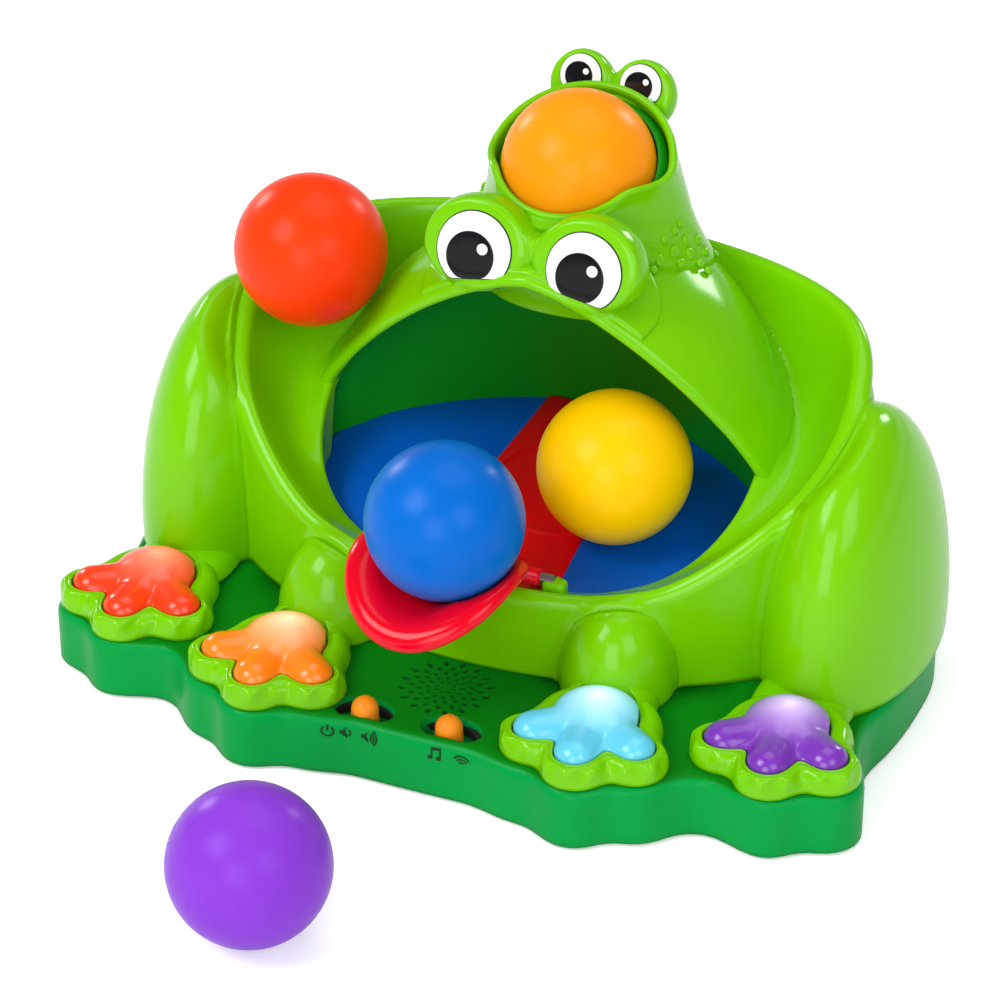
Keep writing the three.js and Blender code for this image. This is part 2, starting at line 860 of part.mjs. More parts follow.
const cellTrayX = cellX - cellRadius - cellTrayWall - seatGap;
const cellTrayLength = cellLength + 2 * (cellTrayWall + seatGap);
const cellTrayWidth = cellPitch * (cellCount - 1) + 2 * (cellRadius + cellTrayWall + seatGap);

// Box round the cells, open at the bottom where the door closes it
function cellTray(grow, lowZ, highZ) {
  return boxBetween(vector(cellTrayX - grow, cellY - cellTrayLength / 2 - grow, lowZ),
    vector(cellTrayX + cellTrayWidth + grow, cellY + cellTrayLength / 2 + grow, highZ));
}

const cellZ = coverZ + doorThickness + cellRadius + seatGap;
const trayHighZ = cellZ + cellRadius + seatGap + cellTrayWall;

function bottomCover() {
  let cover = solidOf(loft([baseRing(baseWall + seatGap, coverZ),
    baseRing(baseWall + seatGap, coverTop)]));
  cover = cover.add(solidOf(cellTray(0, coverZ, trayHighZ)));
  cover = cover.subtract(solidOf(cellTray(-cellTrayWall, coverZ - cutOverrun,
    trayHighZ - cellTrayWall)));
  for (const [x, y] of boardPosts()) {
    cover = cover.add(solidOf(upright(x, y, postRadius, coverZ + coverThickness / 2, boardZ, 10)));
  }
  cover = cover.add(solidOf(upright(blowerX, blowerY, blowerInlet, coverZ + coverThickness / 2,
    motorZ - seatGap, 16)));
  return cover.subtract(solidOf(upright(blowerX, blowerY, blowerInlet - coverThickness,
    coverZ - cutOverrun, motorZ + cutOverrun, 16)));
}

// Circuit board on four posts
const boardZ = coverTop + boardLift;

function boardPosts() {
  const places = [];
  for (const i of [-1, 1]) {
    for (const j of [-1, 1]) {
      places.push([boardX + i * (boardWidth / 2 - postInset),
        boardY + j * (boardDepth / 2 - postInset)]);
    }
  }
  return places;
}

function circuitBoard() {
  const board = boxBetween(vector(boardX - boardWidth / 2, boardY - boardDepth / 2, boardZ),
    vector(boardX + boardWidth / 2, boardY + boardDepth / 2, boardZ + boardThickness));
  const chip = boxBetween(
    vector(boardX - boardWidth / 5, boardY - boardDepth / 8, boardZ + boardThickness / 2),
    vector(boardX + boardWidth / 5, boardY + boardDepth / 8, boardZ + boardThickness * 2));
  return solidOf(board).add(solidOf(chip));
}

function batteryDoor() {
  return cellTray(-cellTrayWall - seatGap, coverZ, coverZ + doorThickness);
}

const motorZ = blowerZ - motorLength;

// Paw: plate with a well, button with its stem, lamp and switch
const plateTop = deckZ + plateHeight;
const wellZ = deckZ + plateFloor;
const buttonFootZ = wellZ + buttonTravel + seatGap;
const buttonTop = plateTop + buttonRise;
const stemFootZ = deckZ - baseWall - stemRadius / 2;

function limbSolids(side, grow) {
  return [haunch, foreleg].map((limb) => solidOf(ellipsoid(
    vector(limb.x * side, limb.y, limb.z), limb.halfWidth + grow, limb.halfDepth + grow,
    limb.halfHeight + grow, limb.around, limb.tiers)));
}

function pawPlate(paw) {
  let plate = solidOf(loft([
    pawRing(paw, platePalmRadius, plateToeRadius, deckZ),
    pawRing(paw, platePalmRadius, plateToeRadius, plateTop - plateChamfer * 2),
    pawRing(paw, platePalmRadius - plateChamfer, plateToeRadius - plateChamfer, plateTop)]));
  plate = plate.subtract(solidOf(loft([
    pawRing(paw, buttonPalmRadius + slideGap, buttonToeRadius + slideGap, wellZ),
    pawRing(paw, buttonPalmRadius + slideGap, buttonToeRadius + slideGap,
      plateTop + cutOverrun)])));
  plate = plate.subtract(solidOf(upright(paw.x, paw.y, stemRadius + slideGap,
    deckZ - cutOverrun, wellZ + cutOverrun)));
  for (const limb of limbSolids(Math.sign(paw.x), seatGap)) plate = plate.subtract(limb);
  return plate.subtract(solidOf(column((angle) => tubRadius(angle) + seatGap, -aboveAll,
    aboveAll, bodySegments)));
}

function pawButton(paw) {
  const ringAt = (inset, z) => pawRing(paw, buttonPalmRadius - inset, buttonToeRadius - inset, z);
  const outer = loft([ringAt(0, buttonFootZ), ringAt(0, buttonTop - buttonRise / 2),
    ringAt(buttonRise / 6, buttonTop - buttonRise / 6), ringAt(buttonRise / 2, buttonTop)]);
  const inner = loft([ringAt(buttonWall, buttonFootZ - cutOverrun),
    ringAt(buttonWall, buttonTop - buttonRise / 2 - buttonWall / 2)]);
  const stem = upright(paw.x, paw.y, stemRadius, stemFootZ, buttonTop - buttonWall / 2, 10);
  return solidOf(outer).subtract(solidOf(inner)).add(solidOf(stem));
}

function pawLamp(paw) {
  return upright(paw.x, paw.y + lampOffset, lampRadius, wellZ, wellZ + lampHeight, 12);
}

function buttonSwitch(paw) {
  return boxBetween(vector(paw.x - switchHalfWidth, paw.y - switchHalfWidth, coverTop),
    vector(paw.x + switchHalfWidth, paw.y + switchHalfWidth,
      stemFootZ - buttonTravel - seatGap));
}

// Tongue lever: a dished paddle on a pin across the lip

function tongueRing(inset, z) {
  const ring = [];
  for (let i = 0; i < frogSegments; i += 1) {
    const angle = fullTurn * i / frogSegments;
    const radius = ovalRadius(angle, tongueHalfWidth, tongueHalfLength, tongueRootLength, 2, 2);
    ring.push(vector((radius - inset) * Math.cos(angle), tongueY
      + (radius - inset) * Math.sin(angle), z));
  }
  return ring;
}

function crossRod(radius, halfLength, y, z, around = 16) {
  const rod = new THREE.CylinderGeometry(radius, radius, halfLength * 2, around);
  rod.rotateZ(Math.PI / 2);
  rod.translate(0, y, z);
  return rod;
}

function tongueLever() {
  const rise = tongueTopZ - tongueFootZ;
  const paddle = solidOf(loft([tongueRing(tongueThickness, tongueFootZ),
    tongueRing(tongueThickness / 4, tongueFootZ + rise / 4), tongueRing(0, tongueFootZ + rise / 2),
    tongueRing(tongueThickness / 5, tongueTopZ - rise / 8),
    tongueRing(tongueThickness / 2, tongueTopZ)]));
  const dish = ellipsoid(vector(0, tongueY, tongueTopZ + dishLift), dishHalfWidth,
    dishHalfLength, dishHalfHeight, 24, 16);
  return paddle.add(solidOf(crossRod(barrelRadius, barrelHalfLength, pinY, pinZ)))
    .subtract(solidOf(dish))
    .subtract(solidOf(crossRod(tonguePinRadius + seatGap, farOut, pinY, pinZ)));
}

function tonguePin() {
  return crossRod(tonguePinRadius, barrelHalfLength + slideGap + lugWidth, pinY, pinZ);
}

function tongueLugs() {
  const lugs = [-1, 1].map((side) => {
    const near = side * (barrelHalfLength + slideGap);
    const far = side * (barrelHalfLength + slideGap + lugWidth);
    const lug = boxBetween(
      vector(Math.min(near, far), pinY - lugHalfDepth, pinZ - lugDrop),
      vector(Math.max(near, far), pinY + lugHalfDepth, pinZ + barrelRadius));
    return solidOf(lug);
  });
  return lugs[0].add(lugs[1])
    .subtract(solidOf(crossRod(tonguePinRadius + seatGap / 2, farOut, pinY, pinZ)));
}

// Switches: knobs on stems that stand in a block under the deck

function switchBlock() {
  const block = boxBetween(
    vector(powerSwitchX - slotHalfWidth - blockMargin,
      powerSwitchY - slotHalfDepth - blockSideGap, deckZ - baseWall - blockDepth),
    vector(soundSwitchX + slotHalfWidth + blockMargin,
      soundSwitchY + slotHalfDepth + blockSideGap, deckZ - baseWall));
  let solid = solidOf(block).intersect(housingHollow(seatGap));
  for (const [x, y] of [[powerSwitchX, powerSwitchY], [soundSwitchX, soundSwitchY]]) {
    solid = solid.subtract(solidOf(slotCut(x, y, slotHalfWidth, slotHalfDepth,
      deckZ - baseWall - slotSink, deckZ)));
  }
  return solid;
}

function switchKnob(x, y) {
  const foot = deckZ - baseWall - slotSink + seatGap;
  const stem = upright(x, y, knobStem / 2, foot, deckZ + knobRadius, 8);
  const ball = ellipsoid(vector(x, y, deckZ + knobRadius), knobRadius, knobRadius,
    knobRadius, 10, 8);
  return solidOf(stem).add(solidOf(ball));
}

function speaker() {
  const top = deckZ - baseWall;
  const shape = [[0, top - speakerDepth * 1.5], [speakerRadius / 2, top - speakerDepth * 1.5],
    [speakerRadius / 2, top - speakerDepth], [speakerRadius * 0.9, top - speakerDepth / 3],
    [speakerRadius, top - speakerDepth / 3], [speakerRadius, top], [0, top]];
  const cone = turned(shape, 20);
  cone.translate(speakerX, speakerY, 0);
  return cone;
}

// Red band: a strip of the floor, a little proud of the blue
function bandSolid(grow) {
  const frontY = baseCentreY - mouthFrontDepth - cutOverrun;
  const backY = baseCentreY + mouthBackDepth + cutOverrun;
  const rings = [];
  for (let i = 0; i <= frogSegments / 2; i += 1) {
    const y = THREE.MathUtils.lerp(frontY, backY, i / (frogSegments / 2));
    const half = bandOutline(y) + grow;
    const low = floorZ(y) + bandRise - floorThickness - grow;
    const high = floorZ(y) + bandRise + grow;
    rings.push([vector(-half, y, low), vector(half, y, low), vector(half, y, high),
      vector(-half, y, high)]);
  }
  return solidOf(loft(rings));
}

function mouthFloor() {
  return solidOf(floorSlab(floorReach, 0, floorThickness)).subtract(bandSolid(seatGap))
    .subtract(ductPassage());
}

function floorBand() {
  const inside = solidOf(column((angle) => mouthRadius(angle) - linerWall - bandRise, -aboveAll,
    aboveAll, bodySegments));
  return bandSolid(0).intersect(inside);
}

// Brow cap: two eye bumps on the face, cut flat in front for the eyes
function eyePlane(x, y, z, tilt, work) {
  work.rotateX(-tilt);
  work.translate(x, y, z);
  return work;
}

function eyeCutter(x, y, z, tilt) {
  const block = boxBetween(vector(-farOut, -farOut, -farOut), vector(farOut, 0, farOut));
  return solidOf(eyePlane(x, y, z, tilt, block));
}

function browCap() {
  let cap = null;
  for (const side of [-1, 1]) {
    const bump = solidOf(ellipsoid(vector(side * browX, browY, browZ), browHalfWidth,
      browHalfDepth, browHalfHeight, 20, 12));
    cap = cap ? cap.add(bump) : bump;
  }
  const bridge = solidOf(ellipsoid(vector(0, browY, browZ - browCapDrop), browX * 2,
    browHalfDepth * 1.1, browHalfHeight * 0.8, 18, 12));
  cap = cap.add(bridge.intersect(behind(bigEyeY)));
  return cap.subtract(eyeCutter(0, bigEyeY, bigEyeZ, bigEyeTilt))
    .subtract(faceBlock(-seatGap, -seatGap)).subtract(smallFrogBlock(seatGap))
    .subtract(cupHull(seatGap)).subtract(mouthBallClearance());
}

// Room for a ball that sits in the small frog's mouth
function mouthBallClearance() {
  const radius = ballRadius + slideGap;
  return solidOf(ellipsoid(vector(0, smallMouthY, smallMouthZ), radius, radius, radius,
    bodySegments, bodySegments / 2));
}

// A round disc lying in an eye plane, its back face at the plane
function eyeDisc(radius, thickness, offset, place, around) {
  const disc = new THREE.CylinderGeometry(radius, radius, thickness, around);
  disc.translate(0, offset + thickness / 2, place.drop);
  disc.rotateX(Math.PI);
  return eyePlane(place.x, place.y, place.z, place.tilt, disc);
}

function eyeWhite(place) {
  const disc = solidOf(eyeDisc(place.radius, eyeThickness, seatGap, { ...place, drop: 0 }, 22));
  return disc.subtract(place.cutter());
}

function eyePupil(place) {
  const drop = place.radius * pupilDropShare;
  const disc = solidOf(eyeDisc(place.pupil, pupilThickness, eyeThickness + seatGap * 2,
    { ...place, drop }, 18));
  return disc.subtract(place.cutter());
}

const bigEyes = [-1, 1].map((side) => ({
  x: bigEyeX * side, y: bigEyeY, z: bigEyeZ, tilt: bigEyeTilt, radius: eyeRadius,
  pupil: pupilRadius, cutter: () => faceBlock(-seatGap, -eyeThickness * 3),
}));

const smallEyes = [-1, 1].map((side) => ({
  x: smallEyeX * side, y: smallEyeDiscY, z: smallEyeZ + smallEyeBump / 2, tilt: smallEyeTilt,
  radius: smallEyeRadius, pupil: smallPupilRadius,
  cutter: () => smallFrogBlock(seatGap).add(smallFrogHollow()),
}));

// Launch cup along the tilted axis of the small frog's mouth

function mouthAxisFrame(work) {
  work.rotateX(smallMouthTilt);
  work.translate(0, smallMouthY, smallMouthZ);
  return work;
}

// Turn a profile of [radius, height] about Z, with its faces pointing out
function turned(profile, around) {
  const lathe = new THREE.LatheGeometry(profile.map(([r, z]) => new THREE.Vector2(r, z)), around);
  lathe.rotateX(Math.PI / 2);
  return outwards(Array.from(lathe.attributes.position.array), Array.from(lathe.index.array));
}

// Lathe about the mouth's axis, profile as radius and height above the mouth's plane
function mouthLathe(profile, around = 24) {
  return mouthAxisFrame(turned(profile, around));
}

function bowlProfile(radius, nozzle) {
  const start = Math.asin(nozzle / radius);
  const points = [];
  const steps = 5;
  for (let i = 0; i <= steps; i += 1) {
    const turn = THREE.MathUtils.lerp(start, Math.PI / 2, i / steps);
    points.push([radius * Math.sin(turn), -radius * Math.cos(turn)]);
  }
  return points;
}

function launchCup() {
  const inner = bowlProfile(cupRadius, cupNozzle);
  const outer = bowlProfile(cupRadius + cupWall, cupNozzle).reverse();
  return mouthLathe([...inner, ...outer, inner[0]]);
}

function cupHull(grow) {
  const radius = cupRadius + cupWall + grow;
  const points = bowlProfile(radius, 0);
  return solidOf(mouthLathe([[0, points[0][1]], ...points.slice(1), [0, 0]]));
}

function smallFrogHead() {
  let head = smallFrogBlock(0);
  for (const side of [-1, 1]) {
    head = head.add(solidOf(ellipsoid(vector(side * smallEyeX, smallEyeY, smallEyeZ),
      smallEyeBump, smallEyeBump, smallEyeBump * 1.1, 16, 12)));
  }
  head = head.subtract(eyeCutter(0, smallEyeDiscY, smallEyes[0].z, smallEyeTilt)
    .subtract(smallFrogBlock(0)));
  return head.subtract(smallFrogHollow()).subtract(domeSolid(linerWall + seatGap))
    .intersect(aboveChute(seatGap));
}

// Inside of the small frog, carried on out of its mouth to clear the ball
function smallFrogHollow() {
  return solidOf(loft(frogTierShares.map((share) => {
    const ring = frogRing(share, smallRimWall);
    if (share === 0) return ring.map((p) => vector(p.x, p.y, p.z - cutOverrun));
    if (share === 1) {
      return ring.map((p) => vector(p.x, p.y - ballRadius * Math.sin(smallMouthTilt),
        p.z + ballRadius * Math.cos(smallMouthTilt)));
    }
    return ring;
  })));
}

// Air duct up the back, from the blower to the cup

function ductPassage() {
  return solidOf(boxBetween(
    vector(-ductHalfWidth - slideGap * 2, mouthBackY - ductHalfDepth * 2, floorBackZ * 1.5),
    vector(ductHalfWidth + slideGap * 2, mouthBackY + ductHalfDepth * 1.6, aboveAll)));
}

const mouthBackY = baseCentreY + mouthBackDepth;

function ductSweep(halfWidth, halfDepth, stretch) {
  const shape = new THREE.Shape();
  shape.absellipse(0, 0, halfDepth, halfWidth, 0, fullTurn);
  const path = new THREE.CatmullRomCurve3([
    vector(0, ductBackY, ductFootZ - stretch), vector(0, ductBackY, (ductFootZ + floorBackZ) / 2),
    vector(0, ductBackY, floorBackZ * 1.25), vector(0, mouthBackY + ductHalfDepth, floorBackZ * 1.6),
    vector(0, ductTopY, (ductTopZ + rimHeight) / 2 - ductHalfDepth),
    vector(0, ductTopY, ductTopZ + stretch)]);
  return new THREE.ExtrudeGeometry(shape, {
    steps: 14, bevelEnabled: false, extrudePath: path, curveSegments: 4,
  });
}

function airDuct() {
  return solidOf(ductSweep(ductHalfWidth, ductHalfDepth, 0))
    .subtract(solidOf(ductSweep(ductHalfWidth - ductWall, ductHalfDepth - ductWall, cutOverrun)));
}

// Blower
function blowerHousing() {
  const top = blowerZ + blowerHeight;
  const shape = [[shaftRadius + slideGap, blowerZ], [blowerRadius, blowerZ], [blowerRadius, top],
    [blowerInlet, top], [blowerInlet, top - blowerWall],
    [blowerRadius - blowerWall, top - blowerWall],
    [blowerRadius - blowerWall, blowerZ + blowerWall],
    [shaftRadius + slideGap, blowerZ + blowerWall], [shaftRadius + slideGap, blowerZ]];
  const drum = turned(shape, 24);
  drum.translate(blowerX, blowerY, 0);
  return drum;
}

function impeller() {
  const foot = blowerZ + blowerWall + slideGap;
  const plate = upright(blowerX, blowerY, impellerRadius, foot, foot + bladeThickness, 24);
  const hub = upright(blowerX, blowerY, impellerHub, foot, foot + impellerHeight / 2, 14);
  let wheel = solidOf(plate).add(solidOf(hub));
  for (let i = 0; i < impellerBlades; i += 1) {
    const blade = boxBetween(vector(impellerHub, -bladeThickness / 2, foot + bladeThickness / 2),
      vector(impellerRadius - bladeThickness, bladeThickness / 2, foot + impellerHeight));
    blade.rotateZ(fullTurn * i / impellerBlades);
    blade.translate(blowerX, blowerY, 0);
    wheel = wheel.add(solidOf(blade));
  }
  return wheel.subtract(solidOf(upright(blowerX, blowerY, shaftRadius + seatGap / 2,
    foot - cutOverrun, foot + impellerHeight / 2 - bladeThickness, 14)));
}

function motor() {
  const can = upright(blowerX, blowerY, motorRadius, motorZ, blowerZ - seatGap / 2, 20);
  const shaft = upright(blowerX, blowerY, shaftRadius, motorZ + bladeThickness,
    blowerZ + blowerWall + impellerHeight / 4, 14);
  return solidOf(can).add(solidOf(shaft));
}

function powerCell(index) {
  const rod = new THREE.CylinderGeometry(cellRadius, cellRadius, cellLength, 20);
  rod.translate(cellX + cellPitch * index, cellY, cellZ);
  return rod;
}

// Balls where they rest

function ballGeometry(x, y, z) {
  const ball = new THREE.SphereGeometry(ballRadius, ballSegments, ballRings);
  ball.rotateX(Math.PI / 2);
  ball.translate(x, y, z);
  return ball;
}

const floorSlope = (floorBackZ - floorFrontZ) / (mouthFrontDepth + mouthBackDepth);
const tongueDishZ = tongueTopZ + dishLift - dishHalfHeight;
const ballPlaces = {
  blue: [0, tongueY, tongueDishZ + ballRadius + seatGap],
  yellow: [yellowX, yellowY,
    floorZ(yellowY) + (ballRadius + seatGap) * Math.hypot(1, floorSlope)],
  red: [redX, redY, redZ],
  orange: [0, smallMouthY, smallMouthZ],
  purple: [purpleX, purpleY, ballRadius],
};
const ballColors = {
  blue: 0x0a7ce6, yellow: 0xffc814, red: 0xff4216, orange: 0xff9a14, purple: 0x8a3cd0,
};

// The toy is set so that the middle of its box, balls and all, is over the origin
const boxFrontY = purpleY - ballRadius;
const boxBackY = baseBackY;
const frameShift = -(boxFrontY + boxBackY) / 2;

const toy = new THREE.Group();
toy.position.y = frameShift;
toy.userData.frameShift = frameShift;

function place(name, shape, finish) {
  const geometry = shape.isBufferGeometry ? shape : geometryOf(shape);
  const mesh = new THREE.Mesh(geometry, new THREE.MeshStandardMaterial(finish));
  mesh.name = name;
  toy.add(mesh);
}

const finish = (color, roughness, metalness = 0) => ({ color, roughness, metalness });

function addHousing() {
  place('base_housing', baseHousing(), deckGreen);
  place('bottom_cover', bottomCover(), finish(0x1c5a2a, 0.5));
  place('battery_door', batteryDoor(), finish(0x1c5a2a, 0.5));
  padPlaces().forEach(([x, y], i) => {
    place(`rubber_foot_${i + 1}`, upright(x, y, padRadius, 0, coverZ), finish(0x222222, 0.9));
  });
  for (let i = 0; i < cellCount; i += 1) {
    place(`battery_cell_${i + 1}`, powerCell(i), finish(0xb8860b, 0.4, 0.6));
  }
  place('circuit_board', circuitBoard(), finish(0x0c5c2c, 0.6));
  place('speaker', speaker(), finish(0x202020, 0.6));
  place('switch_block', switchBlock(), finish(0x151515, 0.6));
  place('power_knob', switchKnob(powerSwitchX, powerSwitchY), finish(0xff8a14, 0.35));
  place('sound_knob', switchKnob(soundSwitchX, soundSwitchY), finish(0xff8a14, 0.35));
}

function addBody() {
  const body = bodyShell().add(tongueLugs()).subtract(ductPassage());
  place('body_shell', body, lime);
  place('face_shell', faceShell(), lime);
  place('brow_cap', browCap(), lime);
  place('small_frog_head', smallFrogHead(), lime);
  place('mouth_liner', mouthLiner(), linerGreen);
  place('mouth_floor', mouthFloor(), finish(0x0a4ca8, 0.35));
  place('floor_band', floorBand(), finish(0xd8001c, 0.35));
}

function addEyes() {
  const names = ['left', 'right'];
  bigEyes.forEach((eye, i) => {
    place(`eye_white_${names[i]}`, eyeWhite(eye), finish(0xf8f8f8, 0.25));
    place(`pupil_${names[i]}`, eyePupil(eye), finish(0x101010, 0.2));
  });
  smallEyes.forEach((eye, i) => {
    place(`small_eye_white_${names[i]}`, eyeWhite(eye), finish(0xf8f8f8, 0.25));
    place(`small_pupil_${names[i]}`, eyePupil(eye), finish(0x101010, 0.2));
  });
}

function addPaws() {
  for (const paw of paws) {
    place(`paw_plate_${paw.name}`, pawPlate(paw), lime);
    place(`paw_button_${paw.name}`, pawButton(paw), finish(paw.color, 0.3));
    place(`paw_lamp_${paw.name}`, pawLamp(paw), finish(paw.glow, 0.2));
    place(`button_switch_${paw.name}`, buttonSwitch(paw), finish(0x303030, 0.6));
  }
}

function addMechanism() {
  place('tongue_lever', tongueLever(), finish(0xe80c28, 0.25));
  place('tongue_pin', tonguePin(), finish(0xb0b0b0, 0.3, 1));
  place('launch_cup', launchCup(), linerGreen);
  place('air_duct', airDuct(), finish(0x303030, 0.6));
  place('blower_housing', blowerHousing(), finish(0x303030, 0.6));
  place('impeller', impeller(), finish(0xe0e0e0, 0.4));
  place('motor', motor(), finish(0x909090, 0.35, 0.8));
}

function addBalls() {
  for (const [name, spot] of Object.entries(ballPlaces)) {
    place(`ball_${name}`, ballGeometry(...spot), finish(ballColors[name], 0.45));
  }
}

addHousing();
addBody();
addEyes();
addPaws();
addMechanism();
addBalls();

export default toy;
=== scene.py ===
"""Ball popper toy in the shape of a sitting frog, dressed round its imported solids.

Lengths inside the classes are millimetres in the toy's own frame: x to the frog's left, -y the way
it looks, z up, the ground at zero. A mesh is turned to metres in the row's frame when it is made.
"""

import logging
import math
from collections.abc import Callable
from dataclasses import dataclass, field
from enum import Enum

import bmesh
import bpy
import numpy as np
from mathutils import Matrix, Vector


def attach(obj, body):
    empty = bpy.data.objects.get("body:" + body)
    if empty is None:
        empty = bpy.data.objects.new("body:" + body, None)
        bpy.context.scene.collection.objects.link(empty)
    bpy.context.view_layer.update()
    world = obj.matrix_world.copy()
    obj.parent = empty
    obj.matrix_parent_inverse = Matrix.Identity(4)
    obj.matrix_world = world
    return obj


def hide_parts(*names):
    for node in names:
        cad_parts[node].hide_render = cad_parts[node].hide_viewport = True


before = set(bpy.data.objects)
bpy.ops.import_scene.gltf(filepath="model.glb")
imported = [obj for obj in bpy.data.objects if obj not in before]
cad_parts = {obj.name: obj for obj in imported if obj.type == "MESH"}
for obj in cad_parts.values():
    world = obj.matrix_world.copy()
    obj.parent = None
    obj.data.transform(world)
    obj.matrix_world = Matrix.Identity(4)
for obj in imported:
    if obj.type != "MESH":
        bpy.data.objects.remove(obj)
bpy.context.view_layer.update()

logging.basicConfig(level=logging.INFO, format="%(message)s")
log = logging.getLogger("frog")

Array = np.ndarray
Field = Callable[[Array], Array]
Piece = bpy.types.Object
Material = bpy.types.Material
Tree = bpy.types.NodeTree
Node = bpy.types.Node
Socket = bpy.types.NodeSocket

MM = 0.001
ROW_SHIFT = 47.0
WELD = 1e-7
FULL_TURN = 2 * math.pi


# Numbers to shapes


def smooth_min(a: Array, b: Array, reach: float) -> Array:
    """The lesser of two values, with the change between them rounded over a reach."""
    mix = np.clip(0.5 + 0.5 * (b - a) / reach, 0, 1)
    return b * (1 - mix) + a * mix - reach * mix * (1 - mix)


def smooth_max(a: Array, b: Array, reach: float) -> Array:
    """The greater of two values, with the change between them rounded over a reach."""
    return -smooth_min(-a, -b, reach)


def ease(low: float, high: float, value: Array) -> Array:
    """Nought below low, one above high, and a soft step between."""
    share = np.clip((value - low) / (high - low), 0, 1)
    return share * share * (3 - 2 * share)


def turns(count: int) -> Array:
    """Angles all the way round, the last one a step short of the first."""
    return np.arange(count) * FULL_TURN / count


def column(low: float, high: float, count: int) -> Array:
    """Evenly spread values, one to a row."""
    return np.linspace(low, high, count)[:, None]


def unit(vectors: Array) -> Array:
    """Vectors cut to length one."""
    return vectors / np.maximum(np.linalg.norm(vectors, axis=-1, keepdims=True), 1e-12)


def stack(x: Array, y: Array, z: Array) -> Array:
    """Points from three arrays of one shape."""
    return np.stack(np.broadcast_arrays(x, y, z), axis=-1).astype(float)


def spun(radius: Array, angle: Array, z: Array, x: float = 0.0, y: float = 0.0) -> Array:
    """Points at a radius and an angle about an upright axis at x and y."""
    return stack(x + radius * np.cos(angle), y + radius * np.sin(angle), z)


def round_blur(values: Array, spread: float) -> Array:
    """Blurs values listed evenly round a turn by a bell curve.

    Args:
        values: The values, the last one a step short of the first.
        spread: The bell's spread in degrees.

    Returns:
        The blurred values.
    """
    waves = np.fft.fftfreq(values.size, 1 / values.size)
    bell = np.exp(-0.5 * (math.radians(spread) * waves) ** 2)
    return np.fft.ifft(np.fft.fft(values) * bell).real


def read_round(values: Array, angle: Array) -> Array:
    """Reads values listed evenly round a turn at any angle."""
    return np.interp(np.mod(angle, FULL_TURN), np.append(turns(values.size), FULL_TURN),
                     np.append(values, values[0]))


def soften(line: Array, first: int, left: int, times: int) -> None:
    """Draws the rows of a line towards the mean of their neighbours, in place.

    Args:
        line: The line's radii or heights, row by row.
        first: The first row that moves.
        left: How many rows at the end stay.
        times: How often it is done.
    """
    end = len(line) - left
    for _ in range(times):
        line[first:end] += 0.25 * (line[first - 1:end - 1] - 2 * line[first:end]
                                   + line[first + 1:end + 1])


def halve(inside: Field, low: Array, high: Array, steps: int) -> tuple[Array, Array]:
    """Closes in on the place where a form ends.

    Args:
        inside: Tells for each value whether it lies inside the form.
        low: Values inside the form.
        high: Values outside it.
        steps: How many times the stretch between them is halved.

    Returns:
        The nearest values found inside and outside.
    """
    for _ in range(steps):
        middle = (low + high) / 2
        hit = inside(middle)
        low, high = np.where(hit, middle, low), np.where(hit, high, middle)
    return low, high


def last_crossing(form: Field, near: float, far: float, count: int) -> Array:
    """Finds the greatest radius at which each ray leaves a form.

    Args:
        form: Distance outside the form at radii along the rays, a ray to a column.
        near: The least radius tried.
        far: The greatest radius tried.
        count: How many radii are tried before the halving.

    Returns:
        One radius for each ray.
    """
    radius = column(near, far, count)
    inside = form(radius) < 0
    last = count - 1 - np.argmax(inside[::-1], axis=0)
    low = radius[last, 0]
    low, high = halve(lambda r: form(r) < 0, low, low + (far - near) / (count - 1), 8)
    return (low + high) / 2


def oval_radius(angle: Array, half_width: float, front: float, back: float,
                front_power: float, back_power: float) -> Array:
    """Radius of a rounded oval whose front and back halves have their own depths.

    The shares of the half width and the depth, each raised to a power, sum to one.

    Args:
        angle: Angles about the oval's middle.
        half_width: Half the width.
        front: Depth from the middle to the front.
        back: Depth from the middle to the back.
        front_power: Two for an ellipse, more for a squarer front.
        back_power: The same for the back.

    Returns:
        The radius at each angle.
    """
    across = np.abs(np.cos(angle)) / half_width
    sine = np.sin(angle)
    power = np.where(sine < 0, front_power, back_power)
    along = np.abs(sine) / np.where(sine < 0, front, back)
    return (across ** power + along ** power) ** (-1 / power)


def folded(points: Array) -> Array:
    """Points with those on the frog's right mirrored over to its left."""
    return stack(np.abs(points[..., 0]), points[..., 1], points[..., 2])


def pinched(value: Array, power: Array | float) -> Array:
    """A sine or cosine bent so that a circle becomes a pinched or squared arch."""
    return np.sign(value) * np.abs(value) ** (2 / power)


def lift_angle(angle: Array) -> Array:
    """Degrees that a direction points behind straight sideways, the same left and right."""
    return np.degrees(np.arctan2(np.sin(angle), np.abs(np.cos(angle))))


def ellipsoid_field(points: Array, centre: Array | tuple, halves: tuple) -> Array:
    """Distance to an ellipsoid, nearly: from the scaled radius and its slope.

    Args:
        points: Where it is wanted.
        centre: The ellipsoid's middle.
        halves: Its half axes.

    Returns:
        The distance, negative inside.
    """
    offset = points - centre
    scaled = np.linalg.norm(offset / halves, axis=-1)
    slope = np.linalg.norm(offset / np.square(halves), axis=-1)
    return scaled * (scaled - 1) / np.maximum(slope, 1e-9)


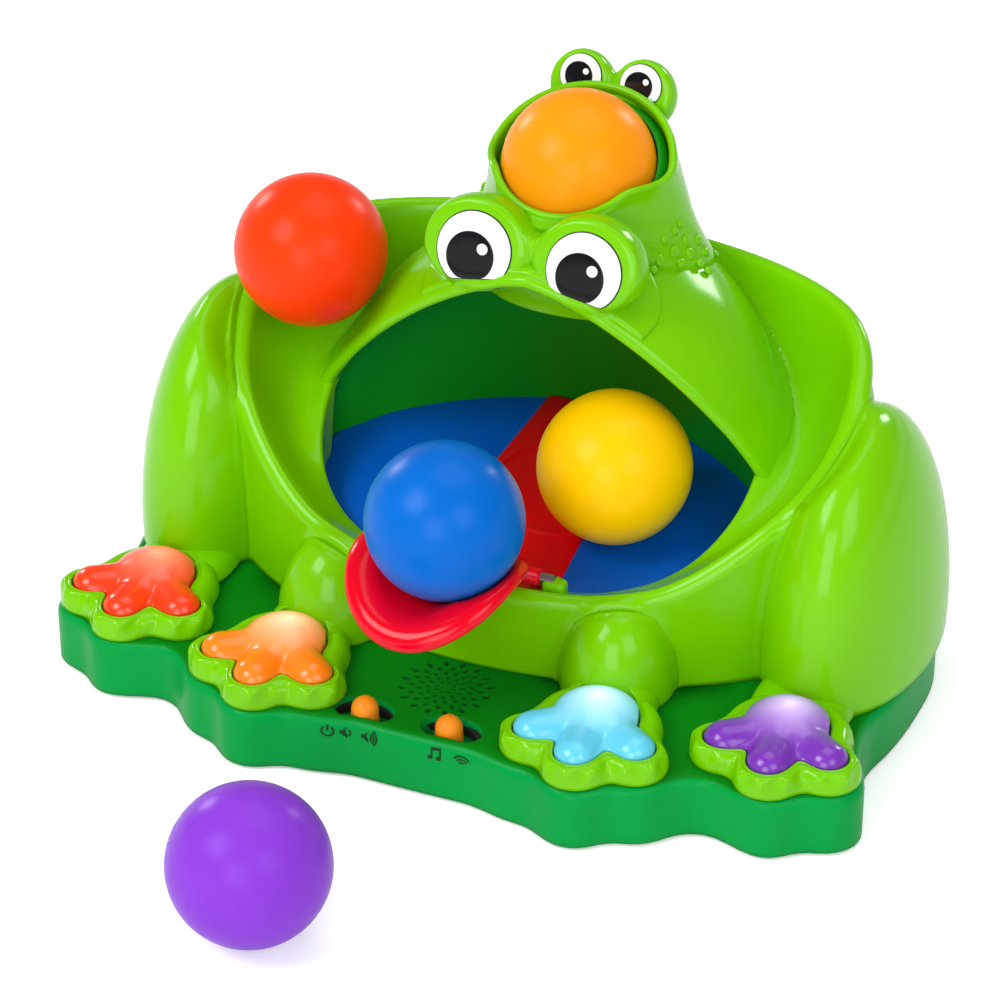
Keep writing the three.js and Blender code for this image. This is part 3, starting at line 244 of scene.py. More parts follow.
def fillet(points: Array, directions: Array, own: Field, other: Field, reach: float,
           share: Array | float = 1.0) -> Array:
    """Moves points out to the rounded union of their own form and another.

    Each point goes along its direction by the distance at which the smooth minimum of both
    fields is nought, found by halving, and by no more than a third of the reach. A point deep
    inside the other form stays.

    Args:
        points: The surface's points.
        directions: The outward direction at each point.
        own: Distance to the surface's own form.
        other: Distance to the form it meets.
        reach: How far from the meeting line the rounding begins.
        share: How much of the move each point makes.

    Returns:
        The moved points.
    """
    def buried(step: Array) -> Array:
        """True where a step still ends inside the rounded union."""
        moved = points + directions * step[..., None]
        return smooth_min(own(moved), other(moved), reach) < 0

    start = other(points)
    low, high = halve(buried, np.zeros(points.shape[:-1]),
                      np.full(points.shape[:-1], reach * 0.33), 14)
    step = (low + high) / 2 * ease(-2.2 * reach, -1.2 * reach, start)
    step = np.where(start > reach, 0, step) * share
    return points + directions * step[..., None]


def behind(points: Array, spot: Array, normal: Array) -> Array:
    """Nought on a plane and in front of it, and one from three millimetres behind it."""
    return ease(0.6, 3.0, -(points - spot) @ normal)


def facing(tilt: float) -> Array:
    """The way a plane looks that leans back by a tilt."""
    return np.array([0, -math.cos(tilt), math.sin(tilt)])


def grid_normals(grid: Array, wrapped: bool = True) -> Array:
    """Unit normals of a grid of points, from its differences down the rows and round them.

    Args:
        grid: Points by row and by place in the row.
        wrapped: True where a row closes on itself.

    Returns:
        One normal for each point.
    """
    down = np.gradient(grid, axis=0)
    if wrapped:
        along = np.roll(grid, -1, axis=1) - np.roll(grid, 1, axis=1)
    else:
        along = np.gradient(grid, axis=1)
    return unit(np.cross(down, along))


def cut_ball(centre: Array, halves: tuple, planes: list[tuple[Array, float]], rounding: float,
             tiers: int, around: int) -> tuple[Array, Array]:
    """An ellipsoid cut flat by planes with soft edges.

    Along each direction the radius is the smooth minimum of the ellipsoid's own radius and the
    reach to each plane. The grid's pole is square to the first plane.

    Args:
        centre: The middle.
        halves: The half axes.
        planes: For each plane its outward normal and its distance from the middle.
        rounding: How far from a cut its edge begins to turn.
        tiers: Rings from pole to pole.
        around: Points in a ring.

    Returns:
        The points and the directions to them from the middle.
    """
    ways = sphere_directions(tiers, around, planes[0][0])
    radius = 1 / np.linalg.norm(ways / np.array(halves), axis=-1)
    for normal, distance in planes:
        reach = distance / np.maximum(ways @ normal, 1e-3)
        radius = smooth_min(radius, reach, rounding)
    return centre + ways * radius[..., None], ways


def pillow(centre: tuple, halves: tuple, power: float) -> Array:
    """Rings of a rounded block: a sphere's sines and cosines squared off by a power.

    Args:
        centre: The middle.
        halves: The half sizes.
        power: Two for an ellipsoid, more for a squarer block.

    Returns:
        The rings' points.
    """
    tilt = column(-math.pi / 2, math.pi / 2, 20)
    turn = turns(40)[None, :]
    flat = pinched(np.cos(tilt), power)
    return np.array(centre) + np.array(halves) * stack(
        flat * pinched(np.cos(turn), power), flat * pinched(np.sin(turn), power),
        pinched(np.sin(tilt), power) + 0 * turn)


def sphere_directions(tiers: int, around: int, pole: Array) -> Array:
    """Unit directions on a grid of tiers from a pole to its opposite, and angles round it.

    Args:
        tiers: Rings from pole to pole.
        around: Directions in a ring.
        pole: The way of the first ring.

    Returns:
        The directions.
    """
    axis = unit(pole)
    side = unit(np.cross(axis, [0.0, 0.0, 1.0] if abs(axis[2]) < 0.9 else [1.0, 0.0, 0.0]))
    third = np.cross(axis, side)
    lean = column(0, math.pi, tiers)
    angle = turns(around)[None, :]
    return (np.cos(lean)[..., None] * axis + (np.sin(lean) * np.cos(angle))[..., None] * side
            + (np.sin(lean) * np.sin(angle))[..., None] * third)


# Shapes to objects


class Skin:
    """Closed skins gathered into the mesh of one object."""

    def __init__(self, name: str) -> None:
        """Starts an empty skin.

        Args:
            name: The name of the object it becomes.
        """
        self.name = name
        self.points: list[Array] = []
        self.quads: list[Array] = []
        self.tags: list[Array] = []
        self.count = 0

    def _store(self, points: Array, quads: Array, tag: Array | None) -> None:
        """Adds points and quads, the quads turned so that the skin's volume is positive.

        Args:
            points: The skin's points.
            quads: Four point numbers for each face.
            tag: One value for each point, or nothing for noughts.
        """
        a, b, c, d = (points[quads[:, i]] for i in range(4))
        volume = np.einsum("ij,ij->", a, np.cross(b, c)) + np.einsum("ij,ij->", a, np.cross(c, d))
        if volume < 0:
            quads = quads[:, ::-1]
        self.points.append(points)
        self.quads.append(quads + self.count)
        self.tags.append(np.zeros(len(points)) if tag is None else tag.reshape(-1))
        self.count += len(points)

    def add_rings(self, grid: Array, looped: bool = False, tag: Array | None = None) -> "Skin":
        """Adds a skin of rings that close on themselves.

        Args:
            grid: Points by ring and by place round the ring.
            looped: True where the last ring meets the first, as on a torus. Otherwise the first
                and last rings are drawn together to points at their middles.
            tag: One value for each point of the grid, kept as an attribute.

        Returns:
            The skin.
        """
        if not looped:
            ends = [np.repeat(grid[i].mean(axis=0)[None, None], grid.shape[1], axis=1)
                    for i in (0, -1)]
            grid = np.concatenate([ends[0], grid, ends[1]])
            if tag is not None:
                tag = np.concatenate([tag[:1], tag, tag[-1:]])
        rows, around = grid.shape[:2]
        number = np.arange(rows * around).reshape(rows, around)
        below = np.roll(number, -1, axis=0) if looped else number[1:]
        above = number if looped else number[:-1]
        quads = np.stack([above, np.roll(above, -1, axis=1), np.roll(below, -1, axis=1), below],
                         axis=-1).reshape(-1, 4)
        self._store(grid.reshape(-1, 3), quads, tag)
        return self

    def add_sheets(self, outer: Array, inner: Array) -> "Skin":
        """Adds a shell between two open sheets of equal grids, its four edges closed by strips.

        Args:
            outer: Points of the sheet that is seen.
            inner: Points of the sheet behind it.

        Returns:
            The skin.
        """
        rows, around = outer.shape[:2]
        out = np.arange(rows * around).reshape(rows, around)
        back = out + rows * around

        def faces(a: Array, b: Array, c: Array, d: Array) -> Array:
            """Quads from four equal grids of point numbers."""
            return np.stack([a, b, c, d], axis=-1).reshape(-1, 4)

        quads = np.concatenate([
            faces(out[:-1, :-1], out[:-1, 1:], out[1:, 1:], out[1:, :-1]),
            faces(back[1:, :-1], back[1:, 1:], back[:-1, 1:], back[:-1, :-1]),
            faces(back[0, :-1], back[0, 1:], out[0, 1:], out[0, :-1]),
            faces(out[-1, :-1], out[-1, 1:], back[-1, 1:], back[-1, :-1]),
            faces(out[:-1, 0], out[1:, 0], back[1:, 0], back[:-1, 0]),
            faces(back[:-1, -1], back[1:, -1], out[1:, -1], out[:-1, -1])])
        self._store(np.concatenate([outer.reshape(-1, 3), inner.reshape(-1, 3)]), quads, None)
        return self

    def make(self) -> Piece:
        """Makes the object in metres in the row's frame, with poles and seams welded.

        Returns:
            The object, linked to the scene.
        """
        points = np.concatenate(self.points)
        quads = np.concatenate(self.quads)
        points = (points + [0, ROW_SHIFT, 0]) * MM
        mesh = bpy.data.meshes.new(self.name)
        mesh.vertices.add(len(points))
        mesh.vertices.foreach_set("co", points.astype(np.float32).ravel())
        mesh.loops.add(quads.size)
        mesh.loops.foreach_set("vertex_index", quads.astype(np.int32).ravel())
        mesh.polygons.add(len(quads))
        mesh.polygons.foreach_set("loop_start", np.arange(0, quads.size, 4, dtype=np.int32))
        mesh.polygons.foreach_set("use_smooth", np.ones(len(quads), bool))
        mesh.update(calc_edges=True)
        tag = mesh.attributes.new("tag", "FLOAT", "POINT")
        tag.data.foreach_set("value", np.concatenate(self.tags).astype(np.float32))
        work = bmesh.new()
        work.from_mesh(mesh)
        bmesh.ops.remove_doubles(work, verts=work.verts, dist=WELD * 20)
        bmesh.ops.dissolve_degenerate(work, edges=work.edges, dist=WELD)
        work.to_mesh(mesh)
        work.free()
        return link_object(self.name, mesh)


def link_object(name: str, data: bpy.types.ID) -> Piece:
    """Makes an object that holds this data and links it to the scene.

    Args:
        name: The object's name.
        data: A mesh, a light or a camera.

    Returns:
        The object, at the origin.
    """
    made = bpy.data.objects.new(name, data)
    bpy.context.scene.collection.objects.link(made)
    return made


def settle(piece: Piece, material: Material, body: str, slot: str, *nodes: str) -> None:
    """Dresses a finished piece and ties it to its place in the frame.

    Args:
        piece: The piece.
        material: Its finish.
        body: The body it moves with.
        slot: The row's material slot; not used.
        *nodes: The nodes it stands for, if any.
    """
    piece.data.materials.clear()
    piece.data.materials.append(material)
    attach(piece, body)
    if nodes:
        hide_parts(*nodes)
    log.info("%s: %d faces on %s", piece.name, len(piece.data.polygons), body)


# Materials


def linear(code: str) -> tuple[float, float, float, float]:
    """Turns a colour to linear light.

    Args:
        code: Six sRGB hex digits.

    Returns:
        Red, green and blue, and one for opaque.
    """
    parts = [int(code[i:i + 2], 16) / 255 for i in (0, 2, 4)]
    light = [p / 12.92 if p <= 0.04045 else ((p + 0.055) / 1.055) ** 2.4 for p in parts]
    return (light[0], light[1], light[2], 1.0)


def set_inputs(tree: Tree, node: Node, inputs: dict) -> None:
    """Sets or links a node's inputs.

    Args:
        tree: The node's tree.
        node: The node.
        inputs: Input names or numbers, each with a value or with an output socket to link.
    """
    for key, value in inputs.items():
        if isinstance(value, Socket):
            tree.links.new(value, node.inputs[key])
        else:
            node.inputs[key].default_value = value


def add_node(tree: Tree, kind: str, settings: dict | None = None,
             inputs: dict | None = None) -> Node:
    """Adds a node, sets its properties, and sets or links its inputs.

    Args:
        tree: The material's node tree.
        kind: The node's type name after its common beginning.
        settings: Property names and values.
        inputs: Input names or numbers, each with a value or with an output socket to link.

    Returns:
        The node.
    """
    node = tree.nodes.new(f"ShaderNode{kind}")
    for name, value in (settings or {}).items():
        setattr(node, name, value)
    set_inputs(tree, node, inputs or {})
    return node


def start_material(name: str) -> tuple[Material, Tree, Node, Socket]:
    """Starts a material.

    Args:
        name: The real material and how it is made.

    Returns:
        The material, its node tree, its shader and the Object coordinates.
    """
    material = bpy.data.materials.new(name)
    material.use_nodes = True
    tree = material.node_tree
    place = add_node(tree, "TexCoord").outputs["Object"]
    return material, tree, tree.nodes["Principled BSDF"], place


def noise(tree: Tree, place: Socket, size: float, detail: float = 2.0) -> Socket:
    """Adds noise whose blots are of a size in millimetres, and gives its value."""
    return add_node(tree, "TexNoise", None, {"Vector": place, "Scale": 1000 / size,
                                             "Detail": detail}).outputs[0]


def stretch(tree: Tree, value: Socket, low: float, high: float) -> Socket:
    """Adds a node that maps nought to one onto low to high, and gives the result."""
    return add_node(tree, "MapRange", None, {"Value": value, "To Min": low,
                                             "To Max": high}).outputs[0]


def blend(tree: Tree, factor: Socket, *ends: str | Socket) -> Socket:
    """Adds a mix of two colours.

    Args:
        tree: The material's nodes.
        factor: How much of the second colour is in the mix.
        ends: The two colours, each a hex code or a socket.

    Returns:
        The mixed colour.
    """
    first, second = (linear(end) if isinstance(end, str) else end for end in ends)
    return add_node(tree, "Mix", {"data_type": "RGBA"},
                    {0: factor, 6: first, 7: second}).outputs[2]


def figure(tree: Tree, operation: str, *values: float | Socket, clamp: bool = False) -> Socket:
    """Adds a sum on values or sockets, and gives the result."""
    return add_node(tree, "Math", {"operation": operation, "use_clamp": clamp},
                    dict(enumerate(values))).outputs[0]


@dataclass(frozen=True)
class Moulding:
    """A moulded plastic: its two shades, gloss, and the grain that its mould left in it.

    The grain is a fine unevenness of a tool's polish or spark-eroded surface, given by its size
    and depth in millimetres, and the drift is the slow change of shade in thick and thin places.
    """

    name: str
    shade: str
    deep_shade: str
    roughness: float
    grain: float = 0.9
    depth: float = 0.01
    coat: float = 0.0
    drift: float = 60.0
    glow_through: float = 0.0
    spread: tuple[float, float, float] = (0.4, 1.0, 0.2)
    shine: float = 0.22

    def make(self) -> Material:
        """Builds the material: shade by slow noise, roughness by middling noise, bump by grain.

        Returns:
            The material.
        """
        material, tree, shader, place = start_material(self.name)
        bump = add_node(tree, "Bump", None, {"Height": noise(tree, place, self.grain),
                                             "Distance": self.depth * MM, "Strength": 1.0})
        set_inputs(tree, shader, {
            "Base Color": blend(tree, noise(tree, place, self.drift), self.shade,
                                self.deep_shade),
            "Roughness": stretch(tree, noise(tree, place, self.grain * 12, 3.0),
                                 self.roughness * 0.85, self.roughness * 1.2),
            "Normal": bump.outputs[0], "IOR": 1.5, "Specular IOR Level": self.shine,
            "Coat Weight": self.coat, "Coat Roughness": 0.08})
        if self.glow_through:
            set_inputs(tree, shader, {"Subsurface Weight": self.glow_through,
                                      "Subsurface Radius": self.spread,
                                      "Subsurface Scale": 3 * MM})
        return material


@dataclass(frozen=True)
class LitMoulding:
    """Clear tinted plastic with a lamp under its palm, which glows white there and fades out.

    The glow falls off with the distance from the lamp, read from the Object coordinates through
    a Mapping node that is centred on it.
    """

    name: str
    shade: str
    glow: str
    centre: tuple[float, float, float]
    reach: float = 24.0
    strength: float = 0.6
    falloff: float = 1.9

    def make(self) -> Material:
        """Builds the material: a tinted gloss skin whose own light fades away from the lamp.

        Returns:
            The material.
        """
        material, tree, shader, place = start_material(self.name)
        size = self.reach * MM
        centred = add_node(tree, "Mapping", {"vector_type": "TEXTURE"},
                           {"Vector": place, "Location": Vector(self.centre) * MM,
                            "Scale": (size, size, size)})
        fall = add_node(tree, "TexGradient", {"gradient_type": "SPHERICAL"},
                        {"Vector": centred.outputs[0]})
        lit = figure(tree, "MULTIPLY", figure(tree, "POWER", fall.outputs[1], self.falloff),
                     stretch(tree, noise(tree, place, 9.0), 0.85, 1.15), clamp=True)
        shade = blend(tree, lit, self.shade, self.glow)
        set_inputs(tree, shader, {
            "Base Color": shade, "Emission Color": shade,
            "Emission Strength": figure(tree, "MULTIPLY", lit, self.strength),
            "Roughness": 0.22, "IOR": 1.49, "Coat Weight": 0.15, "Subsurface Weight": 0.25,
            "Subsurface Radius": (1.0, 0.6, 0.5), "Subsurface Scale": 4 * MM})
        return material


@dataclass(frozen=True)
class Metal:
    """A plain metal with the fine streaks that drawing or turning leaves, along one axis."""

    name: str
    shade: str
    deep_shade: str
    roughness: float
    streak: tuple[float, float, float]

    def make(self) -> Material:
        """Builds the material: streaked noise drives shade and roughness.

        Returns:
            The material.
        """
        material, tree, shader, place = start_material(self.name)
        drawn = add_node(tree, "Mapping", None, {"Vector": place, "Scale": self.streak})
        streaks = noise(tree, drawn.outputs[0], 2.0, 4.0)
        set_inputs(tree, shader, {
            "Base Color": blend(tree, streaks, self.shade, self.deep_shade),
            "Roughness": stretch(tree, streaks, self.roughness * 0.7, self.roughness * 1.4),
            "Metallic": 1.0})
        return material


@dataclass(frozen=True)
class Housing:
    """The base's moulding: polished walls, a fine-textured deck, speaker holes in painted shade.

    The deck is told from the walls by height and the holes by the mesh's own tag.
    """

    name: str
    wall_shade: str
    wall_drift: str
    deck_shade: str
    hole_painted_shade: str
    deck_height: float

    def make(self) -> Material:
        """Builds the material from the moulding's, with the deck and the holes' painted shade
        mixed in.

        Returns:
            The material.
        """
        material = Moulding(self.name, self.wall_shade, self.deck_shade, 0.3, shine=0.07).make()
        tree = material.node_tree
        place = add_node(tree, "TexCoord").outputs["Object"]
        split = add_node(tree, "SeparateXYZ", None, {0: place})
        high = self.deck_height * MM
        level = add_node(tree, "MapRange", {"interpolation_type": "SMOOTHSTEP"},
                         {"Value": split.outputs[2], "From Min": high - 1.2 * MM,
                          "From Max": high - 0.2 * MM}).outputs[0]
        wall = blend(tree, noise(tree, place, 50.0), self.wall_shade, self.wall_drift)
        # The tag marks the speaker holes, which get a near-black green: painted shade standing in
        # for their depth
        tag = add_node(tree, "Attribute", {"attribute_name": "tag"})
        set_inputs(tree, tree.nodes["Principled BSDF"], {
            "Base Color": blend(tree, tag.outputs["Fac"],
                                blend(tree, level, wall, self.deck_shade), self.hole_painted_shade),
            "Roughness": stretch(tree, level, 0.27, 0.42)})
        return material


# Gloss ABS, injection moulded in a polished tool: sharp highlights over a faintly uneven skin
LIME = Moulding("abs_lime_gloss_moulded", "78C800", "6EC000", 0.16, 1.4, 0.004, 0.06, 90.0, 0.05)
# The same plastic in dark green, polished walls and a fine spark-eroded deck; painted shade in the
# holes
HOUSING = Housing("abs_green_base_moulded", "009A3C", "069444", "047C12", "032A08", 26.0)
# Satin polypropylene, moulded: soft broad highlights in the mouth's lining
LINER = Moulding("pp_dark_green_satin_moulded", "0C980A", "088808", 0.36, 1.2, 0.012)
# Satin polypropylene in blue, for the mouth's floor
FLOOR = Moulding("pp_blue_satin_moulded", "0062D2", "0056C2", 0.38, 1.2, 0.012)
# Gloss ABS in red: the tongue, wet looking
TONGUE = Moulding("abs_red_gloss_moulded", "E60020", "DA001C", 0.15, 1.4, 0.004, 0.1)
# Satin polypropylene in red, for the band on the floor
BAND = Moulding("pp_red_satin_moulded", "E40612", "D8020E", 0.36, 1.2, 0.012)
# Pad-printed gloss enamel on the eyes: flat white and black with a clean, wet sheen
EYE_WHITE = Moulding("enamel_white_printed", "F2F4F6", "E9ECEF", 0.2, 2.0, 0.002, 0.3)
PUPIL = Moulding("enamel_black_printed", "0E0F12", "16171A", 0.12, 2.0, 0.002, 0.1)
# Blow-moulded polyethylene balls: a satin skin, a little mottled
BALL_SHADES = {"red": ("FF400A", "F83806"), "orange": ("FF9A0E", "FA920A"),
               "yellow": ("FFC800", "FCC000"), "blue": ("006CCC", "0062C0"),
               "purple": ("8A3ED0", "8036C6")}
# Satin ABS slide knobs: a dull sheen that shows the round of the pin
KNOB = Moulding("abs_orange_satin_moulded", "F79420", "EE8818", 0.3, 1.0, 0.008)
# Printed symbols: flat dark green ink
INK = Moulding("ink_dark_green_printed", "05400F", "04380C", 0.5, 0.8, 0.004)
# Plain mouldings, rubber, coated board and drawn metal that are out of sight from the front
DARK_BASE = Moulding("abs_dark_green_textured_moulded", "1E7A36", "1A7030", 0.55, 0.7, 0.03)
RUBBER = Moulding("rubber_black_moulded", "222222", "2A2A2A", 0.7, 0.6, 0.03)
INNER_BLACK = Moulding("abs_black_plain_moulded", "242424", "2C2C2C", 0.5, 0.8, 0.02)
INNER_WHITE = Moulding("abs_white_plain_moulded", "DEDEDA", "D2D2CE", 0.45, 0.8, 0.02)
BOARD = Moulding("glass_fibre_board_coated", "0E5C2C", "0A4E24", 0.4, 0.5, 0.02)
CELL = Metal("steel_cell_can_sleeved", "B8862A", "8E6A1C", 0.35, (1.0, 1.0, 0.05))
STEEL = Metal("steel_pin_drawn", "B4B4B0", "8C8C88", 0.28, (0.05, 1.0, 1.0))
MOTOR = Metal("steel_motor_can_drawn", "9A9A98", "7C7C7A", 0.32, (1.0, 1.0, 0.05))


# The body


@dataclass
class Tub:
    """The tub's lines: radii and heights by the angle round its middle, as smooth tables."""

    centre_y: float = 40.0
    half_width: float = 129.0
    front_depth: float = 75.0
    back_depth: float = 80.0
    back_power: float = 2.3
    rim_height: float = 145.0
    rim_radius: float = 4.5
    mouth_half_width: float = 92.0
    mouth_front: float = 63.0
    mouth_back: float = 64.0
    foot_z: float = 26.3
    floor_front_z: float = 54.0
    floor_back_z: float = 67.0
    wall: float = 2.6
    front_roll: float = 0.5
    back_roll: float = 0.8
    samples: int = 1440
    rim_shares: tuple = ((-90, .424), (-55, .43), (-38, .464), (-30, .526), (-20, .628), (-9, .74),
                         (0, .85), (9, .93), (20, .985), (90, 1))
    edge_shares: tuple = ((-90, .398), (-50, .392), (-35, .415), (-24, .46), (-15, .525),
                          (-8, .57), (0, .64), (19, .74), (40, .84), (60, .88), (90, .9))
    dip_shares: tuple = ((-90, 0), (-35, .012), (-20, .03), (0, .06), (20, .09), (45, .09),
                         (90, .05))
    tables: dict[str, Array] = field(default_factory=dict)

    def __post_init__(self) -> None:
        """Works out the smooth tables once."""
        angle = turns(self.samples)
        lift = lift_angle(angle)

        def heights(rows: tuple, spread: float) -> Array:
            """Rim heights times the shares listed by lift angle, blurred."""
            table = np.array(rows)
            return round_blur(self.rim_height * np.interp(lift, table[:, 0], table[:, 1]), spread)

        outer = oval_radius(angle, self.half_width, self.front_depth, self.back_depth, 2,
                            self.back_power)
        inner = oval_radius(angle, self.mouth_half_width, self.mouth_front, self.mouth_back, 2, 2)
        self.tables = {"radius": round_blur(outer, 3), "mouth": round_blur(inner, 3),
                       "rim": heights(self.rim_shares, 4), "edge": heights(self.edge_shares, 4),
                       "dip": heights(self.dip_shares, 6),
                       "back": round_blur(ease(-35, 5, lift), 3)}

    def at(self, name: str, angle: Array) -> Array:
        """Reads one of the tables at any angle."""
        return read_round(self.tables[name], angle)

    def floor_z(self, y: Array) -> Array:
        """Height of the mouth's floor, a slope from its back down to its front."""
        share = (y - self.centre_y + self.mouth_front) / (self.mouth_front + self.mouth_back)
        return self.floor_front_z + (self.floor_back_z - self.floor_front_z) * share

    def polar(self, points: Array) -> tuple[Array, Array]:
        """Angle and radius of points about the tub's upright axis.

        Args:
            points: The points.

        Returns:
            Their angles and their radii.
        """
        x = points[..., 0]
        y = points[..., 1] - self.centre_y
        return np.arctan2(y, x), np.hypot(x, y)

    def wall_field(self, points: Array) -> Array:
        """Distance to the outside of the wall below the rim, and to the rim's round above.

        Args:
            points: Where it is wanted.

        Returns:
            The distance, negative inside.
        """
        angle, radius = self.polar(points)
        top = self.at("rim", angle) - self.rim_radius
        away = radius - self.at("radius", angle)
        above = np.hypot(away + self.rim_radius, points[..., 2] - top) - self.rim_radius
        return np.where(points[..., 2] < top, away, above)

    def chute_height(self, angle: Array, radius: Array) -> Array:
        """Height of the chute: from under the rim, falling fast and then slowly to the mouth.

        The fall is a power of the way inwards in front and its mirror image, squared, behind,
        less a half sine for the dip.

        Args:
            angle: Angles about the tub's middle.
            radius: Radii there.

        Returns:
            The height at each place.
        """
        outer, top = self.roll_end(angle)
        share = np.clip((outer - radius) / (outer - self.at("mouth", angle)), 0, 1)
        back = self.at("back", angle)
        fall = (1 - back) * share ** 1.6 + back * (1 - (1 - share) ** 2)
        return (top + (self.at("edge", angle) - top) * fall
                - self.at("dip", angle) * np.sin(np.pi * share))

    def roll(self, angle: Array) -> Array:
        """How far round its small circle the rim is rolled: to its top in front, more behind."""
        return math.pi * (self.front_roll + (self.back_roll - self.front_roll)
                          * self.at("back", angle))

    def roll_end(self, angle: Array) -> tuple[Array, Array]:
        """Where the rolled rim ends and the chute begins.

        Args:
            angle: Angles about the tub's middle.

        Returns:
            The radius and the height there.
        """
        hub = self.at("radius", angle) - self.rim_radius
        end = self.roll(angle)
        return (hub + self.rim_radius * np.cos(end),
                self.at("rim", angle) - self.rim_radius + self.rim_radius * np.sin(end))

    def chute_field(self, points: Array) -> Array:
        """Distance above the chute, nearly: the height over it, cut a little for its slope."""
        angle, radius = self.polar(points)
        return (points[..., 2] - self.chute_height(angle, radius)) * 0.85


@dataclass
class Face:
    """The big frog's face: arches that widen and narrow from the upper lip to the back."""

    front_y: float = 26.0
    depth: float = 88.0
    foot_z: float = 64.0
    height: float = 166.0
    half_width: float = 93.0
    pout: float = 4.5
    sweep: float = 28.0
    sweep_most: float = 16.5
    sweep_end: float = 62.0
    pinches: tuple = ((0, 1.45), (.12, 1.62), (.24, 1.85), (1, 2.4))
    width_shares: tuple = ((0, 1.12), (.12, 1.1), (.24, 1.06), (.48, 1.05), (.75, .93), (1, .7))
    top_shares: tuple = ((0, .99), (.15, 1), (.35, 1), (.7, .985), (1, .93))

    def lines(self, y: Array) -> tuple[Array, Array, Array]:
        """The arch at y, its listed shares read along the depth and blurred by a bell curve.

        Args:
            y: Places along the face.

        Returns:
            Half width, rise above the foot, and pinch.
        """
        share = (y - self.front_y) / self.depth
        fine = np.linspace(-0.3, 1.3, 321)
        bell = np.exp(-0.5 * (np.linspace(-0.2, 0.2, 81) / 0.06) ** 2)
        bell /= bell.sum()
        read = []
        for rows in (self.width_shares, self.top_shares, self.pinches):
            table = np.array(rows, float)
            ends = np.concatenate([2 * table[:1] - table[1:2], table, 2 * table[-1:]
                                   - table[-2:-1]])
            soft = np.convolve(np.interp(fine, ends[:, 0], ends[:, 1]), bell, "same")
            read.append(np.interp(share, fine[40:-40], soft[40:-40]))
        return read[0] * self.half_width, read[1] * self.height - self.foot_z, read[2]

    def forward(self, y: Array, turn: Array) -> Array:
        """How far the arch stands forward: out at the middle of the lip, back at its corners."""
        back = smooth_min(self.sweep * (1 - np.abs(np.sin(turn))), self.sweep_most + 0 * turn, 5.0)
        return (self.pout - back) * ease(self.sweep_end, self.front_y, y)

    def arch(self, y: Array, turn: Array, inset: Array) -> Array:
        """Points of the arch: half width by pinched cosine, rise by pinched sine, lip forward.

        Args:
            y: Depth of each arch.
            turn: Angles along it, from foot to foot.
            inset: How far inside the arch the points are.

        Returns:
            The points.
        """
        half, rise, pinch = self.lines(y)
        return stack((half - inset) * pinched(np.cos(turn), pinch), y - self.forward(y, turn),
                     self.foot_z + (rise - inset) * pinched(np.sin(turn), pinch))

    def field(self, points: Array) -> Array:
        """Distance outside the arch, measured towards the middle of its foot.

        Args:
            points: Where it is wanted.

        Returns:
            The distance, negative inside.
        """
        half, rise, pinch = self.lines(points[..., 1])
        across = np.abs(points[..., 0])
        up = np.maximum(points[..., 2] - self.foot_z, 0)
        scaled = ((across / half) ** pinch + (up / rise) ** pinch) ** (1 / pinch)
        reach = np.hypot(across, up)
        out = reach * (1 - 1 / np.maximum(scaled, 1e-3))
        front = self.front_y + 8.0 - points[..., 1]
        back = points[..., 1] - self.front_y - self.depth
        return np.maximum(out, np.maximum(front, back))


@dataclass
class Limb:
    """A haunch or a foreleg: a hollow bulge standing on the deck against the tub's wall."""

    centre: tuple[float, float, float]
    halves: tuple[float, float, float]
    tiers: int
    around: int
    reach: float
    crown: float
    roof_slope: float = 1.25
    roof_round: float = 7.0
    rim_tuck: float = 4.0
    wall_tuck: float = 1.3

    def field(self, points: Array) -> Array:
        """Distance to the bulge on either side, which are mirror images."""
        return ellipsoid_field(folded(points), self.centre, self.halves)

    def grid(self, tub: Tub, side: int) -> Array:
        """The bulge's points, tucked into the tub's wall and rounded where it meets the wall.

        An ellipsoid, tier by tier from the deck to its top. Points inside the tub are drawn out
        to the middle of its wall, points above the rim are drawn down to it, and the rest goes
        out to the rounded union with the tub.

        Args:
            tub: The tub that it stands against.
            side: Plus one for the frog's left.

        Returns:
            The points by tier and by place round it.
        """
        centre = np.array(self.centre) * [side, 1, 1]
        halves = np.array(self.halves)
        low = math.asin((tub.foot_z - centre[2]) / halves[2])
        tilt = column(low, math.pi / 2, self.tiers)
        angle = turns(self.around)[None, :]
        points = centre + halves * stack(np.cos(tilt) * np.cos(angle),
                                         np.cos(tilt) * np.sin(angle), np.sin(tilt))
        normals = unit((points - centre) / np.square(halves))
        turn, radius = tub.polar(points)
        wall, rim = tub.at("radius", turn), tub.at("rim", turn)
        outside = ease(-3.0, 0.5, radius - wall)
        roof = rim - self.crown + self.roof_slope * np.maximum(radius - wall + 2.0, 0)
        points[..., 2] = np.maximum(smooth_min(points[..., 2], roof, self.roof_round), tub.foot_z)
        hidden = wall - np.where(points[..., 2] > rim - 8.0, self.rim_tuck, self.wall_tuck)
        kept = np.maximum(radius, hidden)
        points[..., 0] = kept * np.cos(turn)
        points[..., 1] = tub.centre_y + kept * np.sin(turn)
        return fillet(points, normals, self.field, tub.wall_field, self.reach, outside)


